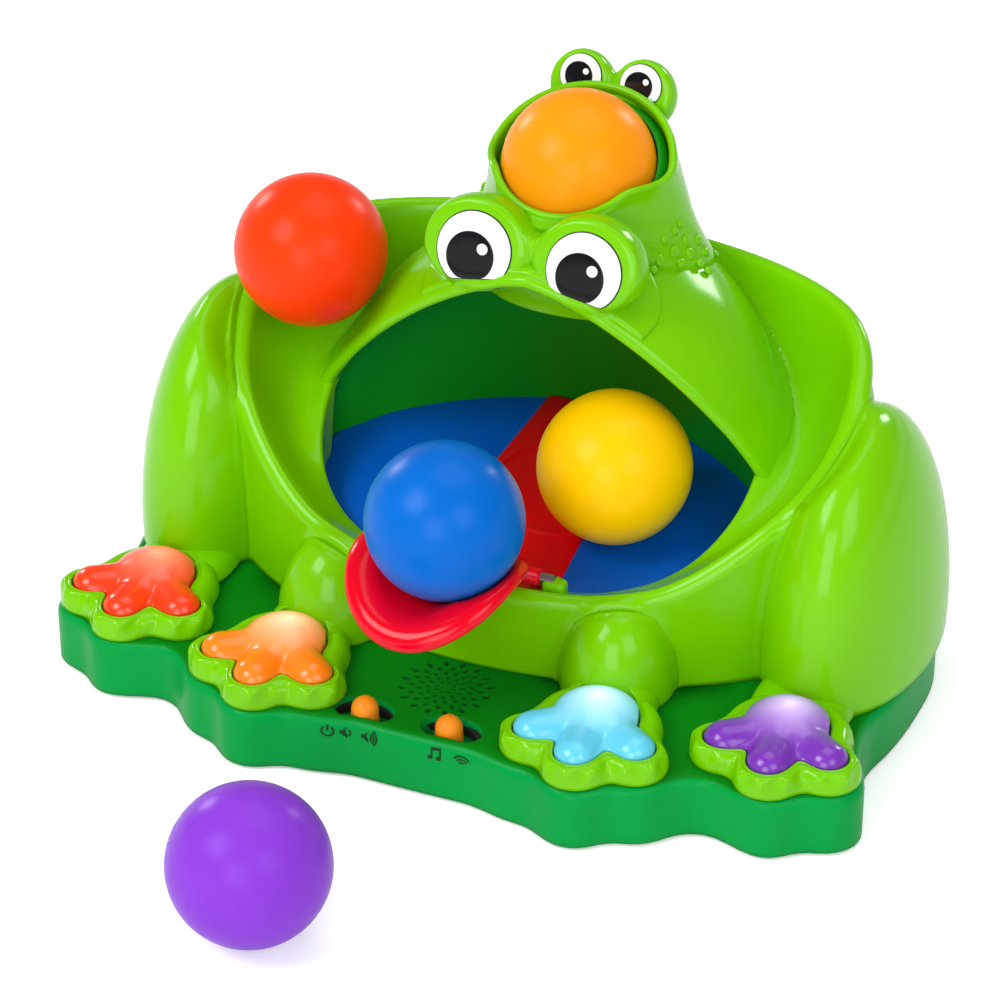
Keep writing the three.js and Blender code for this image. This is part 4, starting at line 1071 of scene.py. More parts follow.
@dataclass
class Body:
    """The lime body moulding: tub with rolled rim and chutes, haunches and forelegs."""

    tub: Tub
    face: Face
    haunch: Limb = field(default_factory=lambda: Limb((131.5, 39, 36), (32, 60, 90), 70, 120,
                                                     4.0, 1.5))
    foreleg: Limb = field(default_factory=lambda: Limb((59, -26, 28), (22, 22, 35), 44, 88,
                                                      5.0, 9.0))
    around: int = 440
    edge_round: float = 2.2
    edge_wall: float = 1.6
    wall_rows: int = 24
    rim_rows: int = 14
    chute_rows: int = 40

    def profile(self, angle: Array) -> tuple[Array, Array]:
        """The outside's section at each angle: wall, rolled rim and chute, with soft joins.

        Args:
            angle: Angles about the tub's middle.

        Returns:
            Radius and height by angle and row.
        """
        tub = self.tub
        radius = tub.at("radius", angle)[:, None]
        top = (tub.at("rim", angle) - tub.rim_radius)[:, None]
        climb = np.linspace(0, 1, self.wall_rows)[None, :]
        turn = tub.roll(angle)[:, None] * np.linspace(0, 1, self.rim_rows + 1)[None, 1:]
        share = np.linspace(0.025, 1, self.chute_rows)[None, :] ** 1.1
        outer = tub.roll_end(angle)[0][:, None]
        inner = tub.at("mouth", angle)[:, None]
        chute_r = outer + (inner - outer) * share
        chute_z = tub.chute_height(angle[:, None], chute_r)
        r = np.concatenate([np.broadcast_to(radius, (angle.size, self.wall_rows)),
                            radius - tub.rim_radius + tub.rim_radius * np.cos(turn), chute_r], 1)
        z = np.concatenate([tub.foot_z + (top - tub.foot_z) * climb,
                            top + tub.rim_radius * np.sin(turn), chute_z], 1)
        for line in (r, z):
            soften(line.T, self.wall_rows + 1, 1, 3)
        return r, z

    def mouth_wall(self, angle: Array, r: Array, z: Array, nr: Array,
                   nz: Array) -> tuple[Array, Array]:
        """The rounded edge of the mouth, the wall down to the floor, and its back.

        The edge turns from the chute's own normal to straight inwards on a small radius. The
        wall goes down to the floor in front and at the sides, and is cut short behind.

        Args:
            angle: Angles about the tub's middle.
            r: Radius of the chute's end at each angle.
            z: Its height.
            nr: The radial part of its normal.
            nz: The upright part.

        Returns:
            Radius and height by angle and row.
        """
        radius = self.edge_round
        start = np.arctan2(nz, nr)
        bend = start + (math.pi - start) * np.linspace(0, 1, 8)[None, 1:]
        edge_r = r - radius * nr + radius * np.cos(bend)
        edge_z = z - radius * nz + radius * np.sin(bend)
        floor = self.tub.floor_z(self.tub.centre_y + r * np.sin(angle[:, None]))
        full = np.maximum(edge_z[:, -1:] - floor - 0.2, 2.0)
        drop = full + (3.0 - full) * ease(-4.0, 0.0, lift_angle(angle)[:, None])
        share = np.array([[0.12, 0.35, 0.6, 0.8, 0.97, 1.0]])
        wall_r = edge_r[:, -1:] + 0 * share
        wall_z = edge_z[:, -1:] - drop * share
        back_r = wall_r[:, ::-1] + self.edge_wall
        return (np.concatenate([edge_r, wall_r, back_r], 1),
                np.concatenate([edge_z, wall_z, wall_z[:, ::-1] - 0.05], 1))

    def build(self) -> Piece:
        """Makes the body: the outside, a rounded mouth edge, and the inside a wall's width in.

        Returns:
            The piece, with the haunches, the forelegs, the tongue's two bearings and its stop.
        """
        tub = self.tub
        angle = turns(self.around)
        r, z = self.profile(angle)
        dr, dz = np.gradient(r, axis=1), np.gradient(z, axis=1)
        length = np.hypot(dr, dz)
        nr, nz = dz / length, -dr / length

        def spin(radius: Array, height: Array) -> Array:
            """Rings of points from a section at each angle."""
            return spun(radius, angle[:, None], height, 0.0, tub.centre_y).transpose(1, 0, 2)

        outer = spin(r, z)
        normals = spin(nr, nz) - [0, tub.centre_y, 0]
        fade = ease(36, 28, np.arange(len(outer), dtype=float))[:, None]
        for limb in (self.foreleg, self.haunch):
            outer = fillet(outer, normals, tub.wall_field, limb.field, limb.reach, fade)
        start = self.wall_rows + self.rim_rows
        chute = outer[start:]
        share = ease(36.0, 56.0, chute[..., 1])
        lifted = fillet(chute, normals[start:], tub.chute_field, self.face.field, 8.0, share)
        outer = np.concatenate([outer[:start], lifted])
        lip_r, lip_z = self.mouth_wall(angle, r[:, -1:], z[:, -1:], nr[:, -1:], nz[:, -1:])
        inner = spin(r - tub.wall * nr, z - tub.wall * nz)[::-2]
        foot = inner[-1:].copy()
        foot[..., 2] = tub.foot_z
        skin = Skin("body_moulding")
        skin.add_rings(np.concatenate([outer, spin(lip_r, lip_z), inner[:-1], foot]), looped=True)
        for side in (-1, 1):
            skin.add_rings(self.haunch.grid(tub, side))
            skin.add_rings(self.foreleg.grid(tub, side))
            skin.add_rings(pillow((side * 32.0, -23.2, 60.4), (4.6, 3.0, 4.2), 5.0))
        skin.add_rings(pillow((26.0, -17.0, 59.4), (6.0, 2.4, 1.6), 5.0))
        return skin.make()


@dataclass
class FaceParts:
    """The face moulding with its rounded upper lip, the brow's skirt and the mouth's lining."""

    tub: Tub
    face: Face
    brow: "Brow"
    wall: float = 3.0
    lip_radius: float = 2.6
    across: int = 150
    back_round: float = 16.0
    dome_depth: float = 72.0
    dome_inset: float = 6.4
    dome_most: float = 93.5
    dome_y: float = 30.0
    dome_z: float = 64.0
    dome_wall: float = 2.2
    dome_front: float = 31.5
    wing_tip: float = 1.0
    wing_growth: float = 0.34
    wing_depth: float = 36.0
    wing_step: float = 1.5

    def build_face(self) -> Piece:
        """Makes the face: an outer sheet that rolls under at the lip, and an inner sheet.

        Returns:
            The piece.
        """
        face = self.face
        turn = np.linspace(0, math.pi, self.across)[None, :]
        bend = column(-math.pi / 2, math.pi / 2, 13)
        roll = self.lip_radius
        lip_y = face.front_y + roll - roll * np.cos(bend)
        lip_inset = roll - roll * np.sin(bend)
        end = face.front_y + face.depth - self.back_round
        run = column(face.front_y + roll, end, 70)[1:]
        fall = column(0, 0.5 * math.pi, 16)[1:]
        back_y = end + self.back_round * np.sin(fall)
        back_inset = 1.4 * self.back_round * (1 - np.cos(fall))
        y = np.concatenate([lip_y, run, back_y])
        inset = np.concatenate([lip_inset, 0 * run, back_inset])
        outer = face.arch(y, turn, inset)
        closing = np.linspace(1, 0, 12)[1:, None, None]
        seat = np.array([0, face.front_y + face.depth, face.foot_z])
        outer = np.concatenate([outer, seat + (outer[-1:] - seat) * closing])
        normals = grid_normals(outer, wrapped=False)
        normals *= np.sign((normals * (outer - [0, 70, 90])).sum(-1).mean())
        share = ease(36.0, 56.0, outer[..., 1])
        moved = fillet(outer, normals, face.field, self.tub.chute_field, 9.0, share)
        moved = fillet(moved, normals, face.field, self.brow.cap_field, 7.0)
        inner = face.arch(y, turn, np.maximum(inset + self.wall * ease(0, 8, y - face.front_y - 2),
                                              inset + 0.4))
        inner_end = seat - [0, self.wall, 0]
        inner = np.concatenate([inner, inner_end + (inner[-1:] - inner_end) * closing])
        inner[..., 1] = np.minimum(inner[..., 1], face.front_y + face.depth - self.wall)
        lead = np.linspace(0.02, 0.9, 13)[:, None, None]
        inner[:13] = outer[:1] + (inner[13:14] - outer[:1]) * lead
        return Skin("face_moulding").add_sheets(moved, inner).make()

    def build_wings(self) -> Piece:
        """Makes the brow cap's skirt, which lies on the face round the eyes with a stepped edge.

        It is a sheet a little outside the face's arch, from a tip by the lip over the head to the
        other tip. Its depth grows from each tip by the square root of the turn from it, and its
        height falls in a quarter round at the edge.

        Returns:
            The piece.
        """
        tip = self.wing_tip
        turn = column(tip, math.pi - tip, 120)
        along = np.minimum(turn - tip, math.pi - tip - turn) / self.wing_growth
        across = np.linspace(0, 1, 40)[None, :]
        front = self.face.front_y + 2.5
        y = front + (3.0 + self.wing_depth * np.sqrt(np.clip(along, 0, 1))) * across
        edge = np.minimum(np.minimum((1 - across) * 18, across * 14), along * 16)
        high = self.wing_step * np.sqrt(1 - (1 - np.clip(edge + 0.02, 0, 1)) ** 2)
        turn = turn + 0 * across
        outer = self.face.arch(y, turn, -high)
        return Skin("brow_wings").add_sheets(outer, self.face.arch(y, turn, 1.0 + 0 * y)).make()

    def build_liner(self) -> Piece:
        """Makes the lining: the face's arch drawn in, upright below, and closed to a dome behind.

        Returns:
            The piece.
        """
        start = math.asin((self.dome_front - self.dome_y) / self.dome_depth)
        lean = column(start, math.pi / 2, 44)
        turn = np.linspace(math.radians(-9), math.radians(189), 110)[None, :]
        closing = np.cos(lean)

        def sheet(grow: float) -> Array:
            """Points of the dome.

            Args:
                grow: How far outwards it is grown.

            Returns:
                The points.
            """
            y = self.dome_y + (self.dome_depth + grow) * np.sin(lean) + 0 * turn
            points = self.face.arch(y, turn, self.dome_inset - grow)
            x = points[..., 0] * closing
            most = self.dome_most * closing + grow
            points[..., 0] = np.sign(x) * smooth_min(np.abs(x), most, 3.0)
            points[..., 2] = self.dome_z + (points[..., 2] - self.dome_z) * closing
            return points

        return Skin("mouth_lining").add_sheets(sheet(self.dome_wall), sheet(0.0)).make()


@dataclass
class Brow:
    """The brow cap: two eye bumps cut flat in front, and the bridge between and under them."""

    face: Face
    bump_x: float = 22.5
    centre_y: float = 33.5
    centre_z: float = 169.6
    bump_halves: tuple[float, float, float] = (21.5, 20.5, 18.4)
    bridge_z: float = 165.0
    bridge_halves: tuple[float, float, float] = (43.0, 23.0, 10.5)
    floor_z: float = 160.0
    eye_y: float = 27.0
    eye_z: float = 171.0
    tilt: float = 0.3
    set_back: float = 3.0
    cut_round: float = 2.4
    join: float = 6.0

    def bump_centre(self, side: int) -> Array:
        """Middle of one eye bump."""
        return np.array([side * self.bump_x, self.centre_y, self.centre_z])

    def bridge_field(self, points: Array) -> Array:
        """Distance to the bridge, cut flat in front."""
        body = ellipsoid_field(points, (0, self.centre_y, self.bridge_z), self.bridge_halves)
        return smooth_max(body, self.eye_y + self.set_back - points[..., 1], 3.0)

    def bump_field(self, points: Array) -> Array:
        """Distance to the nearer eye bump, cut by the eye plane.

        Args:
            points: Where it is wanted.

        Returns:
            The distance, negative inside.
        """
        near = folded(points)
        body = ellipsoid_field(near, self.bump_centre(1), self.bump_halves)
        cut = (near - [0, self.eye_y, self.eye_z]) @ facing(self.tilt)
        return smooth_max(body, cut, 3.0)

    def cap_field(self, points: Array) -> Array:
        """Distance to the whole cap."""
        return smooth_min(self.bump_field(points), self.bridge_field(points), 3.0)

    def build(self) -> Piece:
        """Makes the cap: bumps and bridge as cut balls, each rounded into the others.

        Returns:
            The piece.
        """
        skin = Skin("brow_moulding")
        plane = facing(self.tilt)
        spot = np.array([0, self.eye_y, self.eye_z])
        down = np.array([0.0, 0.0, -1.0])
        for side in (-1, 1):
            centre = self.bump_centre(side)
            other = self.bump_centre(-side)
            points, ways = cut_ball(centre, self.bump_halves,
                                    [(plane, (spot - centre) @ plane),
                                     (down, self.centre_z - self.floor_z + 3.5)],
                                    self.cut_round, 64, 110)

            def rest(p: Array, other: Array = other) -> Array:
                """Distance to the other bump, the bridge and the face, joined softly.

                Args:
                    p: Where it is wanted.
                    other: The other bump's middle.

                Returns:
                    The distance, negative inside.
                """
                twin = ellipsoid_field(p, other, self.bump_halves)
                near = smooth_min(twin, self.bridge_field(p), 3.0)
                return smooth_min(near, self.face.field(p), 2.0)

            share = behind(points, spot, plane)
            skin.add_rings(fillet(points, ways, self.bump_field, rest, self.join, share))
        points, ways = cut_ball(np.array([0, self.centre_y, self.bridge_z]), self.bridge_halves,
                                [(np.array([0.0, -1.0, 0.0]),
                                  self.centre_y - self.eye_y - self.set_back),
                                 (down, self.bridge_z - self.floor_z)], self.cut_round, 60, 140)
        share = behind(points, spot, plane)
        skin.add_rings(fillet(points, ways, self.bridge_field, self.bump_field, self.join, share))
        return skin.make()


@dataclass
class EyePair:
    """A pair of printed eyes: a white oval, its dark outline, a pupil and a catch-light."""

    prefix: str
    x: float
    y: float
    z: float
    tilt: float
    radius: float
    pupil: float
    floor: float
    lean: float
    drop: float
    lift: float = 0.25
    glance: float = -0.08

    def disc(self, side: int, offset: tuple[float, float], radius: float, low: float, high: float,
             floor: float) -> Array:
        """A round-edged disc in the eye plane, its lower part cut straight by the brow's ledge.

        Rings: the radius by angle is the soft least of the circle and the ledge line, and the
        edge goes from the back height to the front one in a quarter round.

        Args:
            side: Plus one for the frog's left eye.
            offset: The disc's middle, across and up from the eye's.
            radius: The disc's radius.
            low: How far before the eye plane its back is.
            high: How far before it its front is.
            floor: How far below the eye's middle the ledge cuts.

        Returns:
            The rings' points.
        """
        angle = turns(72)[None, :]
        bend = np.array([0, 0, 0.25, 0.5, 0.75, 1.0, 1.0])[:, None] * math.pi / 2
        down = np.array([-side * math.sin(self.lean), -math.cos(self.lean)])
        left = floor - offset[0] * down[0] - offset[1] * down[1]
        ledge = left / np.maximum(np.cos(angle) * down[0] + np.sin(angle) * down[1], 1e-3)
        reach = smooth_min(np.full(angle.shape, radius), ledge, 1.0)
        edge = min(0.5, (high - low) * 0.6)
        out = reach - edge * (1 - np.cos(bend))
        out[-1] *= 0.5
        depth = np.concatenate([[[low]], high - edge * (1 - np.sin(bend[1:]))])
        right = np.array([1.0, 0, 0])
        up = np.array([0, math.sin(self.tilt), math.cos(self.tilt)])
        centre = np.array([side * self.x, self.y, self.z])
        across = offset[0] + out * np.cos(angle)
        rise = offset[1] + out * np.sin(angle)
        return (centre + across[..., None] * right + rise[..., None] * up
                + (depth + 0 * across)[..., None] * facing(self.tilt))

    def build(self, white: Material, black: Material) -> None:
        """Makes and settles the outline, white, pupil and catch-light of both eyes.

        Args:
            white: Finish of the whites and the catch-lights.
            black: Finish of the outlines and the pupils.
        """
        across, drop = self.glance * self.radius, self.drop * self.radius
        layers = (
            ("eye_outline", "", black, (0, 0), 1.02 * self.radius + 0.1, -1.0, 0.2,
             self.floor + 0.3),
            ("eye_oval", "eye_white", white, (0, 0), self.radius, -0.6, 0.45, self.floor),
            ("pupil_disc", "pupil", black, (across, drop), self.pupil, 0.0, 0.65, self.floor),
            ("catch_light", "", white, (across + 0.48 * self.pupil, drop + 0.36 * self.pupil),
             0.15 * self.radius, 0.3, 0.8, self.floor * 3))
        for side, word in ((-1, "left"), (1, "right")):
            for name, node, finish, offset, radius, low, high, floor in layers:
                points = self.disc(side, offset, radius, self.lift + low, self.lift + high, floor)
                piece = Skin(f"{self.prefix}{name}_{word}").add_rings(points).make()
                nodes = [f"{self.prefix}{node}_{word}"] if node else []
                slot = "white_plastic" if finish is white else "black_plastic"
                settle(piece, finish, "toy", slot, *nodes)


@dataclass
class SmallFrog:
    """The small frog's head: a flared neck that turns into a tilted round mouth."""

    face: Face
    mouth_y: float = 76.0
    mouth_z: float = 186.0
    tilt: float = 0.58
    radius: float = 35.0
    rim: float = 3.2
    foot_y: float = 86.0
    height: float = 48.0
    foot_halves: tuple[float, float] = (47.0, 32.0)
    bow: float = 2.5
    eye_x: float = 12.6
    eye_y: float = 111.5
    eye_z: float = 202.6
    eye_halves: tuple[float, float, float] = (13.2, 12.0, 14.2)
    disc_y: float = 108.0
    disc_z: float = 207.8
    disc_tilt: float = 0.35
    lip_inset: float = 6.4
    lip_lift: float = 12.5
    cup_clear: float = 32.8
    cup_radius: float = 30.6
    cup_wall: float = 1.6
    nozzle: float = 12.0
    root: float = -0.12
    foot_join: float = 15.0
    around: int = 160
    warts: tuple = ((35.7, 62.5, 2.2), (34.4, 58.6, 2.6), (39.1, 62.3, 2.4), (42.1, 70.4, 2.8),
                    (43.4, 78.7, 2.6), (40.8, 79.2, 2.2), (40.2, 74.6, 2.0), (45.6, 86.1, 2.4),
                    (48.5, 86.4, 2.8), (49.3, 96.7, 1.8), (49.5, 78.4, 2.4), (52.5, 79.3, 2.0),
                    (44.9, 69.7, 2.2), (46.0, 76.6, 2.8), (38.5, 68.7, 2.0), (38.5, 57.6, 2.4))

    def lines(self, share: Array) -> tuple[Array, Array, Array, Array, Array]:
        """The neck's ring at a share of its height: width and depth ease from foot to lip.

        Args:
            share: Nought at the foot and one at the mouth.

        Returns:
            Half width, half depth, tilt, y and z of the ring.
        """
        soft = share * share * (3 - 2 * share)
        lip = self.radius + self.rim
        wide = self.foot_halves[0] + (lip - self.foot_halves[0]) * soft
        deep = self.foot_halves[1] + (lip - self.foot_halves[1]) * soft
        y = self.foot_y + (self.mouth_y - self.foot_y) * share + self.bow * np.sin(np.pi * share)
        return wide, deep, self.tilt * share, y, self.mouth_z + self.height * (share - 1)

    def ring(self, share: Array, turn: Array, inset: Array, lift: Array) -> Array:
        """Points of tilted oval rings.

        Args:
            share: Shares of the neck's height.
            turn: Angles round the ring.
            inset: How far the ring is drawn in.
            lift: How far it goes along the tilted axis.

        Returns:
            The points.
        """
        wide, deep, tilt, y, z = self.lines(share)
        across = (wide - inset) * np.cos(turn)
        along = (deep - inset) * np.sin(turn)
        return stack(across, y + along * np.cos(tilt) - lift * np.sin(tilt),
                     z + along * np.sin(tilt) + lift * np.cos(tilt))

    def field(self, points: Array) -> Array:
        """Distance to the neck's outside, from the ring whose plane holds the point.

        Args:
            points: Where it is wanted.

        Returns:
            The distance, negative inside.
        """
        def ahead(share: Array) -> Array:
            """How far the point is above the plane of the ring at this share."""
            _, _, tilt, y, z = self.lines(share)
            return (points[..., 2] - z) * np.cos(tilt) - (points[..., 1] - y) * np.sin(tilt)

        low, _ = halve(lambda share: ahead(share) > 0, np.zeros(points.shape[:-1]),
                       np.ones(points.shape[:-1]), 14)
        wide, deep, tilt, y, z = self.lines(low)
        along = (points[..., 1] - y) * np.cos(tilt) + (points[..., 2] - z) * np.sin(tilt)
        scaled = np.hypot(points[..., 0] / wide, along / deep)
        out = np.hypot(points[..., 0], along) * (1 - 1 / np.maximum(scaled, 1e-3))
        return np.maximum(out, np.maximum(ahead(low), 0))

    def eye_field(self, points: Array) -> Array:
        """Distance to the nearer small eye bump."""
        return ellipsoid_field(folded(points), (self.eye_x, self.eye_y, self.eye_z),
                               self.eye_halves)

    def build(self) -> Piece:
        """Makes the head: neck, rolled lip, inner wall, and the two eye bumps rounded into it.

        The lip is lowered and drawn in towards the front. A bump's points that would stand in
        the launch cup go out along the line from its middle until they are clear of it.

        Returns:
            The piece.
        """
        turn = turns(self.around)[None, :]
        share = column(self.root, 1, 46)
        neck = self.ring(share, turn, 0 * share, 0 * share)
        normals = grid_normals(neck)
        centre = np.array([0, self.mouth_y, self.mouth_z - 20])
        normals *= np.sign((normals * (neck - centre)).sum(-1).mean())
        neck = fillet(neck, normals, self.field, self.face.field, self.foot_join)
        plane = facing(self.disc_tilt)
        spot = np.array([0, self.disc_y, self.disc_z])
        clear = behind(neck, spot, plane) * ease(0.98, 0.8, share)
        neck = fillet(neck, normals, self.field, self.eye_field, 4.0, clear)
        low = ease(-0.2, 0.55, -np.sin(turn))
        pull = ease(0.5, 1.0, share)
        neck += (self.ring(share, turn, self.lip_inset * low * pull, self.lip_lift * low * pull)
                 - self.ring(share, turn, 0 * share, 0 * share))
        roll = self.rim / 2
        bend = column(0, math.pi, 13)[1:]
        top = self.lip_lift * low
        lip = self.ring(np.ones((12, 1)), turn, roll - roll * np.cos(bend) + self.lip_inset * low,
                        roll * np.sin(bend) * 1.1 + top)
        down = column(0, 1, 8)[1:]
        inside = self.ring(np.ones((7, 1)), turn,
                           self.rim + 0.6 * down + self.lip_inset * low * (1 - down),
                           top * (1 - down) - 9 * down)
        back = column(0.8, self.root, 14)
        hidden = self.ring(back, turn, 3.0 + 0 * back, 0 * back)
        skin = Skin("small_frog_moulding")
        skin.add_rings(np.concatenate([neck, lip, inside, hidden]), looped=True)
        for side in (-1, 1):
            middle = np.array([side * self.eye_x, self.eye_y, self.eye_z])
            points, ways = cut_ball(middle, self.eye_halves, [(plane, (spot - middle) @ plane)],
                                    1.8, 44, 72)
            twin = middle * [-1, 1, 1]

            def rest(p: Array, twin: Array = twin) -> Array:
                """Distance to the other bump and the neck, joined softly."""
                return smooth_min(ellipsoid_field(p, twin, self.eye_halves), self.field(p), 2.0)

            share = behind(points, spot, plane)
            bump = fillet(points, ways, self.eye_field, rest, 4.0, share)
            away = bump - [0, self.mouth_y, self.mouth_z]
            far = np.linalg.norm(away, axis=-1, keepdims=True)
            skin.add_rings(bump + away / far * np.maximum(self.cup_clear - far, 0))
        return skin.make()

    def build_warts(self) -> Piece:
        """Makes the warts behind the big eyes: small uneven bumps set into the skin.

        Each stands where a plumb line at its x and y meets the rounded union of face and neck,
        found by halving, and is flattened along that surface's slope.

        Returns:
            The piece.
        """
        skin = Skin("face_warts")
        draw = np.random.default_rng(7)

        def form(points: Array) -> Array:
            """Distance to face and neck, joined softly."""
            return smooth_min(self.face.field(points), self.field(points), self.foot_join)

        table = np.array(self.warts)
        x, y = table[:, 0], table[:, 1]
        low, _ = halve(lambda z: form(stack(x, y, z)) < 0, np.full(len(table), 110.0),
                       np.full(len(table), 185.0), 16)
        spots = stack(x, y, low)
        slopes = unit(np.stack([form(spots + step) - form(spots - step)
                                for step in 0.5 * np.eye(3)], -1))
        for side in (-1, 1):
            for spot, slope, size in zip(spots * [side, 1, 1], slopes * [side, 1, 1], table[:, 2]):
                uneven = 1 + 0.22 * draw.uniform(-1, 1, 3)
                ways = sphere_directions(14, 22, slope)
                lumps = 1 + 0.05 * np.sin(ways @ draw.uniform(-4, 4, 3))
                shape = ways * 0.92 * size * uneven * lumps[..., None]
                skin.add_rings(spot + shape - 0.42 * (shape @ slope)[..., None] * slope)
        return skin.make()

    def build_cup(self) -> Piece:
        """Makes the launch cup: a bowl along the mouth's axis, with a flange up to the lip.

        Returns:
            The piece.
        """
        turn = turns(110)[None, :]
        cup, outer = self.cup_radius, self.cup_radius + self.cup_wall
        bend = column(math.asin(self.nozzle / cup), 0.5 * math.pi, 26)
        flange_r = np.array([[31.0], [32.2], [33.6], [34.7]])
        flange_z = np.array([[0.2], [-0.6], [-2.4], [-4.4]])
        outer_r = outer * np.sin(bend[::-1]) + column(1.6, 0, 26)
        outer_z = -outer * np.cos(bend[::-1]) - column(6.0, 0, 26)
        r = np.concatenate([cup * np.sin(bend), flange_r, outer_r])
        z = np.concatenate([-cup * np.cos(bend), flange_z, outer_z])
        cos, sin = math.cos(self.tilt), math.sin(self.tilt)
        along = r * np.sin(turn)
        points = stack(r * np.cos(turn), self.mouth_y + along * cos - z * sin,
                       self.mouth_z + along * sin + z * cos)
        return Skin("launch_bowl").add_rings(points, looped=True).make()


# The base and the paws


class PawColour(Enum):
    """The four paws, from the frog's right to its left, with their tints."""

    RED = "red"
    ORANGE = "orange"
    BLUE = "blue"
    PURPLE = "purple"


@dataclass
class Paw:
    """One paw: a lime plate with a lobed skirt and heel, and a lit button with three toes.

    Lobes are the palm's radius, the toes' radius and how widely they are joined.
    """

    colour: PawColour
    x: float
    y: float
    heel: tuple[float, float, float, float, float]
    toe_angles: tuple[float, float, float] = (-33.0, -87.0, -141.0)
    toe_distance: float = 24.0
    deck_z: float = 26.0
    plate_top: float = 35.0
    well_z: float = 28.1
    pad_z: float = 34.0
    button_top: float = 44.0
    dome_radius: float = 17.0
    toe_round: float = 7.9
    toe_drop: float = 3.4
    gap: float = 0.7
    curl: float = 0.9
    plate_lobes: tuple[float, float, float] = (24.5, 12.6, 7.0)
    pad_lobes: tuple[float, float, float] = (15.6, 7.8, 10.0)
    around: int = 288

    def toes(self) -> Array:
        """Ways from the paw's middle to its toes, mirrored on the frog's right.

        Returns:
            The ways in plan, one for each toe.
        """
        angles = np.radians(self.toe_angles)
        if self.x < 0:
            angles = -math.pi - angles
        return self.toe_distance * np.stack([np.cos(angles), np.sin(angles)], axis=-1)

    def field(self, x: Array, y: Array, palm: float, toe: float, reach: float) -> Array:
        """Distance in plan to the palm's circle joined with a circle for each toe.

        Args:
            x: Where it is wanted.
            y: The same.
            palm: The palm's radius.
            toe: The toes' radius.
            reach: How widely they are joined.

        Returns:
            The distance, negative inside.
        """
        out = np.hypot(x - self.x, y - self.y) - palm
        for bar in self.toes():
            gap = np.hypot(x - self.x - bar[0], y - self.y - bar[1]) - toe
            out = smooth_min(out, gap, reach)
        return out

    def outline(self, angle: Array, lobes: tuple[float, float, float]) -> Array:
        """Radius by angle about the paw's middle, where rays leave the field for the last time.

        Args:
            angle: Angles evenly round a turn.
            lobes: The palm's radius, the toes' radius and how widely they are joined.

        Returns:
            The radius at each angle, blurred a little.
        """
        def form(radius: Array) -> Array:
            """The field at radii along the rays."""
            return self.field(self.x + radius * np.cos(angle), self.y + radius * np.sin(angle),
                              *lobes)

        return round_blur(last_crossing(form, 4, 48, 300), 1.2)

    def build_plate(self) -> Piece:
        """Makes the plate: a ribbed skirt, a rounded top that dips to the button, and a well.

        The skirt's radius is the outline less a quarter round, with shallow waves under the
        toes. The heel is a low blob behind the palm.

        Returns:
            The piece.
        """
        angle = turns(self.around)[None, :]
        rim = self.outline(angle[0], self.plate_lobes)[None, :]
        well = self.outline(angle[0], self.pad_lobes)[None, :] + self.gap
        front = ease(0.15, 0.6, -np.sin(angle))
        bend = column(0, math.pi / 2, 14)
        foot_z = self.deck_z + 0.3
        waves = np.cos(angle * 21) * front * np.sin(bend * 1.9) ** 2
        slope = (rim - well - 1.4) * 0.86
        skirt_r = rim + 0.6 - slope * (1 - np.cos(bend)) + waves
        skirt_z = foot_z + (self.plate_top - foot_z) * np.sin(bend) ** 0.85
        foot = np.concatenate([rim * 0.5, rim + 0.6])
        inward = column(0, 1, 9)[1:]
        edge = skirt_r[-1:]
        top_r = edge + (well + self.curl - edge) * inward
        top_z = self.plate_top - 0.3 * np.sin(inward * math.pi) + 0 * top_r
        turn_in = column(0, math.pi / 2, 5)[1:]
        curl_r = well + self.curl - self.curl * np.sin(turn_in)
        curl_z = self.plate_top - self.curl * (1 - np.cos(turn_in)) + 0 * curl_r
        r = np.concatenate([foot, skirt_r, top_r, curl_r, well, well * 0.5])
        z = np.concatenate([np.full(foot.shape, foot_z), skirt_z + 0 * skirt_r, top_z, curl_z,
                            np.full((2, self.around), self.well_z)])
        skin = Skin(f"paw_skirt_{self.colour.value}")
        skin.add_rings(spun(r, angle, z, self.x, self.y))
        x, y, wide, deep, high = self.heel
        centre = np.array([x, y, self.deck_z - 2.0])
        halves = np.array([wide, deep, high - self.deck_z + 2.0])
        tilt = column(math.asin(2.3 / halves[2]), math.pi / 2, 30)
        turn = turns(90)[None, :]
        level = pinched(np.cos(tilt), 2.6)
        blob = centre + halves * stack(level * pinched(np.cos(turn), 2.5),
                                       level * pinched(np.sin(turn), 2.5), np.sin(tilt) ** 0.8)
        return skin.add_rings(self.clear_of_well(blob)).make()

    def clear_of_well(self, points: Array) -> Array:
        """Pushes the heel's points back out of the button's well, straight along y.

        Args:
            points: The heel's points, which are changed in place.

        Returns:
            The same points.
        """
        for _ in range(6):
            gap = self.field(points[..., 0], points[..., 1], *self.pad_lobes) - 1.6
            points[..., 1] += np.maximum(-gap, 0)
        return points

